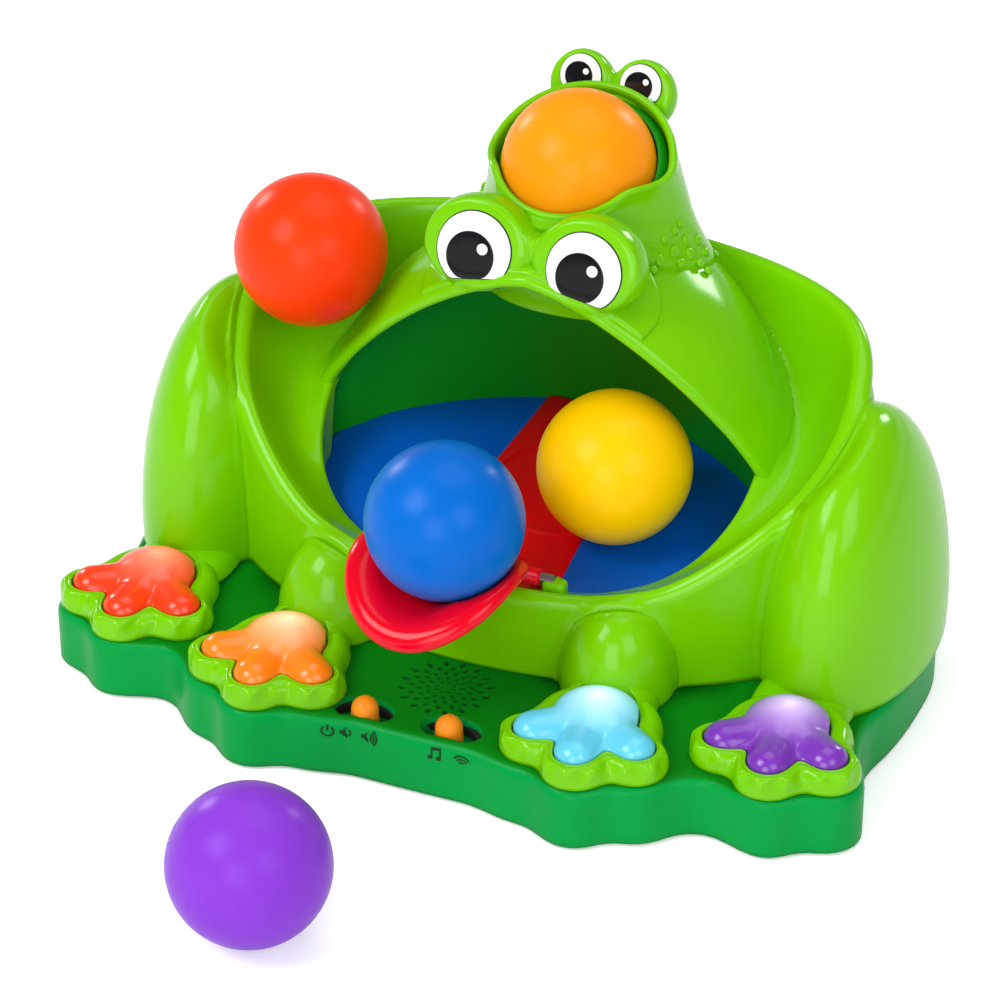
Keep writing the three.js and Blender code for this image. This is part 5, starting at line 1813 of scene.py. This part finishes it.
    def build_button(self) -> Piece:
        """Makes the button: a domed palm and three sausage toes on a low cushion.

        The height is the soft greatest of a dome on the palm, a half-round bar along each toe,
        both the square root of one less the squared share of their radius, and a cushion over
        the whole outline that falls by the fifth power of its share. Rings close up towards the
        edge by the sine of their share.

        Returns:
            The piece.
        """
        angle = turns(self.around)[None, :]
        edge = self.outline(angle[0], self.pad_lobes)[None, :]
        share = np.sin(column(0.03, math.pi / 2, 52))
        r = edge * share
        x, y = r * np.cos(angle), r * np.sin(angle)
        rise = self.button_top - self.pad_z
        height = rise * np.sqrt(np.maximum(1 - (r / self.dome_radius) ** 2, 0))
        for bar in self.toes():
            along = np.clip((x * bar[0] + y * bar[1]) / (bar @ bar), 0.35, 1)
            gap = np.hypot(x - along * bar[0], y - along * bar[1]) / self.toe_round
            toe = (rise - self.toe_drop) * np.sqrt(np.maximum(1 - gap ** 2, 0))
            height = smooth_max(height, toe, 2.2)
        cushion = 0.36 * rise * np.sqrt(np.maximum(1 - share ** 5, 0))
        height = smooth_max(height, cushion + 0 * height, 2.4) - 0.6
        under_r = edge * np.array([[0.55], [0.75], [0.92], [1.0], [1.0]])
        under_z = np.array([[31.5], [31.5], [31.5], [31.7], [33.2]]) + 0 * under_r
        r = np.concatenate([under_r, r[::-1]])
        z = np.concatenate([under_z, self.pad_z + np.maximum(height, 0.0)[::-1]])
        points = spun(r, angle, z, self.x, self.y)
        return Skin(f"paw_pad_{self.colour.value}").add_rings(points).make()


@dataclass
class Base:
    """The dark green base: scalloped wall, rounded edge, deck with knob dishes and a speaker."""

    tub: Tub
    paws: list[Paw]
    half_width: float = 160.0
    front_depth: float = 128.0
    back_depth: float = 83.0
    front_power: float = 2.6
    back_power: float = 2.5
    foot_z: float = 1.5
    deck_z: float = 26.0
    edge_radius: float = 4.5
    wall: float = 2.6
    dishes: tuple = ((-22.4, -78.0), (13.0, -77.0))
    dish_halves: tuple[float, float] = (11.6, 7.6)
    dish_depth: float = 6.0
    speaker: tuple[float, float] = (0.0, -53.0)
    hole_rings: tuple = ((3.4, 8), (6.6, 12), (9.8, 16), (13.0, 16), (16.4, 16))
    paw_lobes: tuple[float, float, float] = (27.2, 14.8, 7.0)
    paw_join: float = 14.0
    fine_depth: float = 50.0

    def field(self, x: Array, y: Array) -> Array:
        """Distance in plan: the oval joined softly with each paw's palm and toes.

        Args:
            x: Where it is wanted.
            y: The same.

        Returns:
            The distance, negative inside.
        """
        angle = np.arctan2(y - self.tub.centre_y, x)
        out = np.hypot(x, y - self.tub.centre_y) - oval_radius(
            angle, self.half_width, self.front_depth, self.back_depth, self.front_power,
            self.back_power)
        for paw in self.paws:
            out = smooth_min(out, paw.field(x, y, *self.paw_lobes), self.paw_join)
        return out

    def angles(self) -> Array:
        """Angles round the base, closer together in front where the small details are.

        Returns:
            The angles, once round.
        """
        coarse = np.radians(np.arange(-60, 240, 0.85))
        fine = np.radians(np.arange(-120, -60, 0.26))
        return np.concatenate([fine, coarse])

    def outline(self, angle: Array) -> Array:
        """Radius by angle about the middle, where rays leave the field for the last time."""
        return last_crossing(lambda radius: self.field(
            radius * np.cos(angle), self.tub.centre_y + radius * np.sin(angle)), 60, 200, 560)

    def smooth_outline(self, angle: Array) -> Array:
        """The outline, evenly sampled and blurred a little, read at any angle."""
        return read_round(round_blur(self.outline(turns(self.tub.samples)), 0.9), angle)

    def holes(self) -> Array:
        """Lays the speaker's holes out in rings, larger outwards.

        Returns:
            Middle, direction and half sizes of each hole.
        """
        rows = []
        for ring, (reach, count) in enumerate(self.hole_rings):
            turn = turns(count) + (ring % 2) * math.pi / count
            size = 0.5 + 0.16 * ring
            rows.append(np.stack([self.speaker[0] + reach * np.cos(turn),
                                  self.speaker[1] + reach * np.sin(turn), turn,
                                  np.full(count, size * 1.55), np.full(count, size * 0.85)], -1))
        return np.concatenate(rows)

    def deck(self, x: Array, y: Array) -> tuple[Array, Array]:
        """The deck's dishes and speaker holes.

        A dish dips by its depth where the squared shares of its half sizes sum to under one, with
        a soft step at its edge. A hole is a diamond: the shares' sizes sum to under one.

        Args:
            x: Places on the deck.
            y: The same.

        Returns:
            How far the deck dips at each place, and how much of it is a hole.
        """
        dip = np.zeros(x.shape)
        for at_x, at_y in self.dishes:
            share = np.sqrt(((x - at_x) / self.dish_halves[0]) ** 2
                            + ((y - at_y) / self.dish_halves[1]) ** 2)
            dip = np.maximum(dip, self.dish_depth * ease(0, 1, (1.06 - share) / 0.13))
        hole = np.zeros(x.shape)
        for at_x, at_y, turn, long, wide in self.holes():
            along = (x - at_x) * math.cos(turn) + (y - at_y) * math.sin(turn)
            across = (y - at_y) * math.cos(turn) - (x - at_x) * math.sin(turn)
            share = np.abs(along) / long + np.abs(across) / wide
            hole = np.maximum(hole, ease(0, 1, (1.25 - share) / 0.5))
        return dip + hole, hole

    def build(self) -> Piece:
        """Makes the housing: wall, rounded edge, deck with its dips, and the inside under them.

        Returns:
            The piece, tagged one in the speaker's holes, where the housing paints them dark as
            painted shade.
        """
        angle = self.angles()[None, :]
        edge = self.smooth_outline(angle[0])[None, :]
        cos, sin = np.cos(angle), np.sin(angle)
        walls, rounds = 10, 9
        climb = column(0, 1, walls)
        bend = column(0, math.pi / 2, rounds + 1)[1:]
        wall_z = self.foot_z + (self.deck_z - self.edge_radius - self.foot_z) * climb
        round_r = edge - self.edge_radius * (1 - np.cos(bend))
        round_z = self.deck_z - self.edge_radius * (1 - np.sin(bend))
        out = edge - self.edge_radius
        deep = column(0.0, self.fine_depth, 96)[1:]
        end = 0.9 * self.tub.at("radius", angle)
        reach = np.minimum(1.0, (out - end) / (self.fine_depth + 2.0))
        share = np.array([[0.4], [1.0]])
        deck_r = np.concatenate([out - deep * reach,
                                 (out - self.fine_depth * reach) * (1 - share) + end * share])
        dip, hole = self.deck(deck_r * cos, self.tub.centre_y + deck_r * sin)
        r = np.concatenate([edge + 0 * wall_z, round_r, deck_r])
        z = np.concatenate([wall_z + 0 * edge, round_z + 0 * edge, self.deck_z - dip])
        rim = walls + rounds
        inner_r = np.concatenate([r[:walls] - self.wall, r[walls:rim] - self.wall * 0.8,
                                  r[rim::4]])[::-1]
        inner_z = np.concatenate([z[:walls - 1], z[walls - 1:walls] - 0.5,
                                  z[walls:rim] - self.wall * 0.9, z[rim::4] - self.wall])[::-1]
        # The hole mask becomes the tag that paints the holes in painted shade
        tag = np.concatenate([np.zeros((rim, angle.size)), hole, np.zeros(inner_r.shape)])
        r = np.concatenate([r, np.maximum(inner_r, r[-1:])])
        z = np.concatenate([z, inner_z])
        points = spun(r, angle, z, 0.0, self.tub.centre_y)
        return Skin("base_moulding").add_rings(points, looped=True, tag=tag).make()


@dataclass
class Knob:
    """A slide knob: a round-topped pin in its dish."""

    name: str
    x: float
    y: float
    foot_z: float = 18.4
    top_z: float = 31.6
    radius: float = 5.4

    def build(self) -> Piece:
        """Makes the knob: a straight side under a half ball.

        Returns:
            The piece.
        """
        turn = turns(56)[None, :]
        bend = column(0, math.pi / 2, 18)
        shoulder = self.top_z - self.radius
        r = np.concatenate([np.array([[0.8], [1.0], [1.0], [0.97]]) * self.radius,
                            self.radius * np.cos(bend[:-1]) * 0.97])
        z = np.concatenate([np.array([[self.foot_z], [self.foot_z + 0.6],
                                      [self.foot_z + 3.0], [shoulder - 0.3]]),
                            shoulder + self.radius * np.sin(bend[:-1])])
        points = spun(r, turn, z, self.x, self.y)
        return Skin(f"{self.name}_pin").add_rings(points).make()


# The mouth's floor and tongue


@dataclass
class Mouth:
    """The blue floor of the mouth with its curved red band, and the red tongue."""

    tub: Tub
    floor_wall: float = 2.4
    floor_reach: float = 1.6
    band_rise: float = 0.9
    tongue_y: float = -53.0
    tongue_x: float = -3.2
    tongue_halves: tuple[float, float, float] = (31.6, 33.8, 31.0)
    tongue_tip: float = -95.0
    tongue_low: float = 72.3
    tongue_curl: float = 14.0
    tongue_seat: float = 69.8
    tongue_under: float = 63.4
    tongue_flare: float = 4.4
    tongue_bulk: float = 8.8
    ball_z: float = 99.6
    ball_radius: float = 30.0
    pin: tuple[float, float] = (-23.0, 64.4)
    barrel_radius: float = 3.3
    barrel_half: float = 26.0

    def build_floor(self) -> Piece:
        """Makes the floor: a disc of the mouth's outline that slopes to the front.

        Returns:
            The piece.
        """
        angle = turns(160)[None, :]
        edge = self.tub.at("mouth", angle[0])[None, :] + self.floor_reach
        share = column(0.02, 1, 40)
        r = edge * share
        top = self.tub.floor_z(self.tub.centre_y + r * np.sin(angle))
        r = np.concatenate([r, r[::-3]])
        z = np.concatenate([top, top[::-3] - self.floor_wall])
        points = spun(r, angle, z, 0.0, self.tub.centre_y)
        return Skin("mouth_floor_blue").add_rings(points).make()

    def build_band(self) -> Piece:
        """Makes the band: a raised strip with a rounded edge and a raised arc on it.

        Its sides run in parabolas from a wide front, the arc is a bell curve's ridge along a
        circle, and all is drawn in where it would pass the mouth's edge.

        Returns:
            The piece.
        """
        front = self.tub.centre_y - self.tub.mouth_front + 4.0
        back = self.tub.centre_y + self.tub.mouth_back - 4.0
        along = column(front, back, 120)
        share = (along - front) / (back - front)
        across = np.linspace(-1, 1, 61)[None, :]
        left = -21.5 - 7.5 * (1 - share) ** 2 - 2.0 * np.sin(np.pi * share)
        right = 23.0 + 7.0 * (1 - share) ** 2 + 8.0 * share ** 2
        x = left + (right - left) * (across + 1) / 2
        y = along - self.tub.centre_y
        mouth = self.tub.at("mouth", np.arctan2(y, x)) - 3.0
        kept = np.minimum(1, mouth / np.hypot(x, y))
        x, y = x * kept, self.tub.centre_y + y * kept
        edge = np.minimum((1 - np.abs(across)) * 12, 1)
        rise = self.band_rise * np.sqrt(np.maximum(1 - (1 - edge) ** 2, 0))
        ring = np.hypot(x - 8.0, y - 44.0)
        rise = rise + 0.9 * np.exp(-(ring - 29.5) ** 2) * edge
        top = stack(x, y, self.tub.floor_z(y) + rise + 0.05)
        under = stack(x, y, self.tub.floor_z(y) - 1.0)
        return Skin("mouth_floor_red").add_sheets(top, under).make()

    def build_tongue(self) -> Piece:
        """Makes the tongue: a leaf whose sides curl up beside the ball and whose tip hangs low.

        The rim's height rises from the tip by the squared sine of the turn away from it. The top
        climbs to the rim by a power of its share of the radius, and is hollowed to clear the
        ball's underside. The outside is a half round that leans out below the rim, and the
        underside comes back to a level middle. The barrel behind is a rod with rounded ends on
        the hinge pin.

        Returns:
            The piece.
        """
        angle = turns(220)[None, :]
        wide, front, back = self.tongue_halves
        edge = oval_radius(angle, wide, front, back, 2.1, 2.3)
        away = np.sin(angle - math.radians(self.tongue_tip)) ** 2
        rim_z = self.tongue_low + self.tongue_curl * away
        crest = edge - self.tongue_bulk
        share = column(0.03, 1, 40)
        z_top = self.tongue_seat + (rim_z - self.tongue_seat) * share ** 1.3
        bend = column(0, math.pi, 18)[1:]
        tall = (8.6 + 2.8 * ease(-0.2, 0.7, -np.sin(angle))) * (1 - 0.2 * away)
        r_side = (crest + self.tongue_bulk * np.sin(bend) ** 0.7
                  + self.tongue_flare * bend / math.pi)
        z_side = rim_z - tall / 2 + tall / 2 * np.cos(bend)
        back_share = column(1, 0.05, 14)[1:]
        r_under = (crest + self.tongue_flare) * back_share
        z_under = self.tongue_under + (rim_z - tall - self.tongue_under) * back_share ** 2
        r = np.concatenate([crest * share, r_side, r_under])
        z = np.concatenate([z_top, z_side, z_under])
        reach = np.hypot(r * np.cos(angle) + self.tongue_x, r * np.sin(angle))
        ball = self.ball_z - np.sqrt(np.maximum(self.ball_radius ** 2 - reach ** 2, 0.0))
        z = smooth_min(z, ball, 1.0)
        for line in (r, z):
            soften(line, 30, 10, 4)
        skin = Skin("tongue_scoop")
        skin.add_rings(spun(r, angle, z, self.tongue_x, self.tongue_y))
        end = np.sin(column(0.15, 1, 6) * math.pi / 2)
        rod = self.barrel_radius * np.concatenate([end, [[1.0]], end[::-1]])
        out = self.barrel_half + 1.0 - end
        x = np.concatenate([-out, [[0.0]], out[::-1]])
        turn = turns(40)[None, :]
        pin_y, pin_z = self.pin
        skin.add_rings(stack(x + 0 * turn, pin_y + rod * np.cos(turn), pin_z + rod * np.sin(turn)))
        return skin.make()


@dataclass
class Ball:
    """A loose ball: hollow in life, with the faint line where its mould parted."""

    colour: str
    centre: tuple[float, float, float]
    radius: float = 30.0
    groove: float = 0.18

    def build(self) -> Piece:
        """Makes the ball: a sphere whose radius dips a little along a tilted parting line.

        Returns:
            The piece.
        """
        pole = np.array([0.45, 0.3, 0.84])
        ways = sphere_directions(73, 128, pole)
        lean = (ways @ unit(pole)) * self.radius
        radius = self.radius - self.groove * np.exp(-(lean / 0.35) ** 2)
        points = np.array(self.centre) + ways * radius[..., None]
        return Skin(f"{self.colour}_ball_shell").add_rings(points).make()


# The printed symbols


@dataclass
class Symbols:
    """Small generic symbols printed on the front wall below the switches."""

    base: Base
    weight: float = 0.75
    skin_lift: float = 0.12

    def on_wall(self, across: Array, up: Array, out: Array) -> Array:
        """Places flat drawing on the base's wall.

        Args:
            across: Distance round the wall from its front middle.
            up: Height, and from the shoulder up the way over the rounded edge.
            out: Distance off the wall.

        Returns:
            The points.
        """
        base = self.base
        shoulder = base.deck_z - base.edge_radius
        angle = -math.pi / 2 + np.arctan2(across, base.front_depth)
        bend = np.clip((up - shoulder) / base.edge_radius, 0, math.pi / 2)
        edge = base.smooth_outline(angle)
        radius = edge - base.edge_radius * (1 - np.cos(bend)) + out * np.cos(bend)
        z = np.where(up < shoulder, up, shoulder + (base.edge_radius + out) * np.sin(bend))
        return spun(radius, angle, z, 0.0, base.tub.centre_y)

    def stroke(self, skin: Skin, line: Array, weight: float) -> None:
        """Adds a stroke: a flat bar along a drawn line, with its ends drawn together.

        Args:
            skin: The skin it is added to.
            line: Points across and up the wall.
            weight: The stroke's width.
        """
        way = unit(np.gradient(line, axis=0))
        side = np.stack([-way[:, 1], way[:, 0]], -1)
        corners = np.array([[-1, -0.3], [-1, 1], [1, 1], [1, -0.3]])
        across = line[:, None, 0] + side[:, None, 0] * corners[:, 0] * weight / 2
        up = line[:, None, 1] + side[:, None, 1] * corners[:, 0] * weight / 2
        out = np.broadcast_to(corners[:, 1] * self.skin_lift, across.shape)
        skin.add_rings(self.on_wall(across, up, out))

    def arc(self, x: float, z: float, radius: float, start: float, stop: float) -> Array:
        """Points of an arc, its angles in degrees."""
        turn = np.radians(np.linspace(start, stop, 18))
        return np.stack([x + radius * np.cos(turn), z + radius * np.sin(turn)], -1)

    def bar(self, x0: float, z0: float, x1: float, z1: float) -> Array:
        """Points of a straight bar."""
        share = column(0, 1, 5)
        return np.array([x0, z0]) * (1 - share) + np.array([x1, z1]) * share

    def build(self) -> Piece:
        """Makes the symbols: power, two loudspeakers, a note and sound waves.

        Returns:
            The piece.
        """
        skin = Skin("switch_symbols")
        w = self.weight
        self.stroke(skin, self.arc(-32.0, 20.6, 2.1, 125, 415), w)
        self.stroke(skin, self.bar(-32.0, 20.8, -32.0, 23.3), w)
        for x, waves in ((-25.0, 1), (-16.5, 3)):
            self.stroke(skin, self.bar(x - 2.8, 20.8, x - 1.4, 20.8), 1.8)
            self.stroke(skin, self.bar(x - 1.5, 20.8, x - 0.5, 20.8), 3.2)
            self.stroke(skin, self.bar(x - 0.6, 20.8, x + 0.1, 20.8), 4.4)
            for i in range(waves):
                self.stroke(skin, self.arc(x - 0.4, 20.8, 1.7 + 1.1 * i, -52, 52), w)
        for x in (8.8, 12.2):
            self.stroke(skin, self.bar(x + 0.7, 19.2, x + 0.7, 23.0), w)
            self.stroke(skin, self.bar(x - 0.9, 18.9, x + 0.8, 19.2), 1.6)
        self.stroke(skin, self.bar(9.2, 22.9, 13.2, 23.3), 1.2)
        for reach in (1.2, 2.6, 4.0):
            self.stroke(skin, self.arc(21.6, 18.6, reach, 38, 142), w)
        return skin.make()


# The whole toy


PAWS = [
    Paw(PawColour.RED, -131.0, -38.0, (-129.0, -13.0, 20.0, 22.0, 37.0)),
    Paw(PawColour.ORANGE, -64.0, -60.0, (-62.0, -40.0, 18.0, 17.0, 40.0)),
    Paw(PawColour.BLUE, 64.0, -60.0, (62.0, -40.0, 18.0, 17.0, 40.0)),
    Paw(PawColour.PURPLE, 131.0, -38.0, (129.0, -13.0, 20.0, 22.0, 37.0)),
]
PAW_SHADES = {PawColour.RED: ("FF3E12", "FF9C80"), PawColour.ORANGE: ("FF8414", "FFDCB8"),
              PawColour.BLUE: ("64CCEA", "DCF4FC"), PawColour.PURPLE: ("7A34B4", "E4CCFA")}
BALLS = [Ball("blue", (0, -53, 100.3)), Ball("yellow", (37, 24, 89.3)),
         Ball("red", (-97.8, 41, 146.6)), Ball("orange", (0, 76, 186)),
         Ball("purple", (-17, -187, 30))]
INNER_FINISHES = {
    "bottom_cover": DARK_BASE, "battery_door": DARK_BASE, "rubber_foot_1": RUBBER,
    "rubber_foot_2": RUBBER, "rubber_foot_3": RUBBER, "rubber_foot_4": RUBBER,
    "battery_cell_1": CELL, "battery_cell_2": CELL, "battery_cell_3": CELL,
    "circuit_board": BOARD, "speaker": INNER_BLACK, "switch_block": INNER_BLACK,
    "air_duct": INNER_BLACK, "blower_housing": INNER_BLACK, "impeller": INNER_WHITE,
    "motor": MOTOR, "tongue_pin": STEEL}


class Toy:
    """The whole toy, built class by class in order."""

    def __init__(self) -> None:
        """Sets out the tub and the face, and an empty store for the finishes that several pieces
        share.
        """
        self.tub = Tub()
        self.face = Face()
        self.made: dict[str, Material] = {}

    def finish(self, kind: Moulding | Metal | Housing | LitMoulding) -> Material:
        """Makes a finish once and gives it again after that.

        Args:
            kind: The finish.

        Returns:
            Its material.
        """
        if kind.name not in self.made:
            self.made[kind.name] = kind.make()
        return self.made[kind.name]

    def build_body(self) -> None:
        """Builds the body, the face, the lining, the brow and the big eyes."""
        lime = self.finish(LIME)
        settle(Body(self.tub, self.face).build(), lime, "toy", "lime_plastic", "body_shell")
        brow = Brow(self.face)
        parts = FaceParts(self.tub, self.face, brow)
        settle(parts.build_face(), lime, "toy", "lime_plastic", "face_shell")
        settle(parts.build_wings(), lime, "toy", "lime_plastic")
        settle(parts.build_liner(), self.finish(LINER), "toy", "liner_green_plastic",
               "mouth_liner")
        settle(brow.build(), lime, "toy", "lime_plastic", "brow_cap")
        EyePair("", 22.3, 26.5, 169.4, 0.3, 15.0, 9.8, 10.9, 0.16, -0.17).build(
            self.finish(EYE_WHITE), self.finish(PUPIL))

    def build_small_frog(self) -> None:
        """Builds the small frog's head, its cup and its eyes."""
        frog = SmallFrog(self.face)
        settle(frog.build(), self.finish(LIME), "toy", "lime_plastic", "small_frog_head")
        settle(frog.build_warts(), self.finish(LIME), "toy", "lime_plastic")
        settle(frog.build_cup(), self.finish(LINER), "toy", "liner_green_plastic", "launch_cup")
        EyePair("small_", 12.4, 108.0, 207.8, 0.35, 8.5, 5.75, 5.0, 0.0, -0.02).build(
            self.finish(EYE_WHITE), self.finish(PUPIL))

    def build_base(self) -> None:
        """Builds the base, the paws, the knobs and the printed symbols."""
        base = Base(self.tub, PAWS)
        settle(base.build(), self.finish(HOUSING), "toy", "deck_green_plastic", "base_housing")
        for paw in PAWS:
            word = paw.colour.value
            settle(paw.build_plate(), self.finish(LIME), "toy", "lime_plastic",
                   f"paw_plate_{word}")
            shade, glow = PAW_SHADES[paw.colour]
            lit = LitMoulding(f"pc_{word}_tinted_lit", shade, glow,
                              (paw.x, paw.y + 3.0 + ROW_SHIFT, paw.button_top - 2.0))
            settle(paw.build_button(), self.finish(lit), f"button_{word}", f"button_{word}",
                   f"paw_button_{word}")
        for name, x, y in (("power_knob", -22.0, -78.5), ("sound_knob", 12.0, -77.5)):
            settle(Knob(name, x, y).build(), self.finish(KNOB), name, "knob_orange_plastic", name)
        settle(Symbols(base).build(), self.finish(INK), "toy", "dark_green_plastic")

    def build_mouth(self) -> None:
        """Builds the floor of the mouth, its band and the tongue."""
        mouth = Mouth(self.tub)
        settle(mouth.build_floor(), self.finish(FLOOR), "toy", "floor_blue_plastic",
               "mouth_floor")
        settle(mouth.build_band(), self.finish(BAND), "toy", "red_plastic", "floor_band")
        settle(mouth.build_tongue(), self.finish(TONGUE), "tongue", "red_plastic",
               "tongue_lever")

    def build_balls(self) -> None:
        """Builds the five loose balls."""
        for ball in BALLS:
            shade, deep = BALL_SHADES[ball.colour]
            skin = Moulding(f"pe_{ball.colour}_satin_blow_moulded", shade, deep, 0.28, 2.2,
                            0.03, 0.0, 24.0, 0.08, shine=0.12)
            settle(ball.build(), self.finish(skin), f"loose_ball_{ball.colour}",
                   f"ball_{ball.colour}", f"ball_{ball.colour}")

    def dress_inside(self) -> None:
        """Gives the carried-over nodes their finishes."""
        finishes = dict(INNER_FINISHES)
        for paw in PAWS:
            finishes[f"button_switch_{paw.colour.value}"] = INNER_BLACK
            _, glow = PAW_SHADES[paw.colour]
            finishes[f"paw_lamp_{paw.colour.value}"] = Moulding(
                f"epoxy_lamp_{paw.colour.value}_cast", glow, glow, 0.2, 1.0, 0.004, 0.3)
        for name, kind in finishes.items():
            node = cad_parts[name]
            node.data.materials.clear()
            node.data.materials.append(self.finish(kind))
            log.info("%s: %s", name, kind.name)


@dataclass
class Studio:
    """The plain floor, the soft lights and the camera at the photograph's angle."""

    aim: tuple[float, float, float] = (-0.4, 0.0, 79.0)
    azimuth: float = 23.1
    elevation: float = 31.8
    distance: float = 1527.0
    lens: float = 144.0
    light: float = 0.4
    mirrored_light: float = 0.14

    def add_camera(self) -> None:
        """Places the camera on the sight line of the photograph."""
        turn, rise = math.radians(self.azimuth), math.radians(self.elevation)
        back = Vector((math.sin(turn) * math.cos(rise), -math.cos(turn) * math.cos(rise),
                       math.sin(rise)))
        data = bpy.data.cameras.new("camera")
        data.lens = self.lens
        data.sensor_width = 36.0
        data.clip_end = 50.0
        camera = link_object("camera", data)
        aim = (Vector(self.aim) + Vector((0, ROW_SHIFT, 0))) * MM
        camera.location = aim + back * self.distance * MM
        camera.rotation_euler = (-back).to_track_quat("-Z", "Y").to_euler()
        bpy.context.scene.camera = camera

    def add_light(self, name: str, place: tuple[float, float, float], size: float,
                  power: float) -> None:
        """Hangs a square soft light that looks at the toy.

        Args:
            name: The light's name.
            place: Where it hangs, in metres.
            size: Its side in metres.
            power: Its power in watts.
        """
        data = bpy.data.lights.new(name, "AREA")
        data.shape = "SQUARE"
        data.size = size
        data.energy = power
        lamp = link_object(name, data)
        lamp.location = place
        way = Vector(place) - Vector((0, 0, 0.08))
        lamp.rotation_euler = (-way).to_track_quat("-Z", "Y").to_euler()

    def add_floor(self) -> None:
        """Lays a wide pale floor that keeps the toy's shadow and shines white far away from it."""
        mesh = bpy.data.meshes.new("floor")
        mesh.from_pydata([(-9, -9, 0), (9, -9, 0), (9, 9, 0), (-9, 9, 0)], [], [(0, 1, 2, 3)])
        material, tree, shader, place = start_material("paper_white_seamless")
        away = add_node(tree, "VectorMath", {"operation": "LENGTH"}, {0: place})
        far = add_node(tree, "MapRange", {"interpolation_type": "SMOOTHSTEP"},
                       {"Value": away.outputs["Value"], "From Min": 0.25, "From Max": 0.9,
                        "To Min": 0.35, "To Max": 1.0})
        seen = add_node(tree, "LightPath").outputs["Is Camera Ray"]
        set_inputs(tree, shader, {
            "Base Color": linear("F6F6F6"), "Roughness": 0.9, "Specular IOR Level": 0.0,
            "Emission Color": (1, 1, 1, 1),
            "Emission Strength": figure(tree, "MULTIPLY", far.outputs[0], seen)})
        mesh.materials.append(material)
        link_object("floor", mesh)

    def add_world(self) -> None:
        """Sets the even light from all round, and plain white where the camera sees past.

        Mirrored rays meet a dimmer surround, and white only low down, where the paper is.
        """
        world = bpy.data.worlds.new("studio")
        bpy.context.scene.world = world
        world.use_nodes = True
        tree = world.node_tree
        way = add_node(tree, "TexCoord").outputs["Generated"]
        split = add_node(tree, "SeparateXYZ", None, {0: way})
        low = add_node(tree, "MapRange", None,
                       {"Value": split.outputs[2], "From Min": 0.05, "From Max": 0.2,
                        "To Min": 1.0, "To Max": 0.0})
        rays = add_node(tree, "LightPath").outputs
        mirrored = figure(tree, "MAXIMUM", rays["Is Glossy Ray"], rays["Is Transmission Ray"])
        seen = figure(tree, "MAXIMUM", rays["Is Camera Ray"],
                      figure(tree, "MULTIPLY", mirrored, low.outputs[0]))
        shade = tree.nodes["Background"]
        set_inputs(tree, shade, {"Color": (1, 1, 1, 1), "Strength": figure(
            tree, "MULTIPLY_ADD", mirrored, self.mirrored_light - self.light, self.light)})
        white = add_node(tree, "Background", None, {"Strength": 1.0, "Color": (1, 1, 1, 1)})
        mix = add_node(tree, "MixShader", None,
                       {0: seen, 1: shade.outputs[0], 2: white.outputs[0]})
        tree.links.new(mix.outputs[0], tree.nodes["World Output"].inputs[0])

    def build(self) -> None:
        """Sets up the floor, lights, world and camera."""
        self.add_camera()
        self.add_floor()
        self.add_world()
        self.add_light("key", (-0.9, -1.1, 1.5), 0.9, 19.0)
        self.add_light("fill", (1.3, -0.9, 1.1), 0.9, 8.0)
        self.add_light("front", (0.25, -1.8, 0.75), 1.0, 12.0)
        self.add_light("top", (0.1, 0.4, 1.7), 1.2, 7.0)
        self.add_light("rim_left", (-1.5, 0.85, 0.62), 0.35, 5.0)
        self.add_light("rim_right", (0.5, 1.65, 0.78), 0.35, 5.0)
        bpy.context.scene.view_settings.view_transform = "Standard"
        log.info("studio ready")


def main() -> None:
    """Builds the studio and the toy in order."""
    Studio().build()
    toy = Toy()
    toy.build_body()
    toy.build_small_frog()
    toy.build_base()
    toy.build_mouth()
    toy.build_balls()
    toy.dress_inside()


if __name__ == "__main__":
    main()
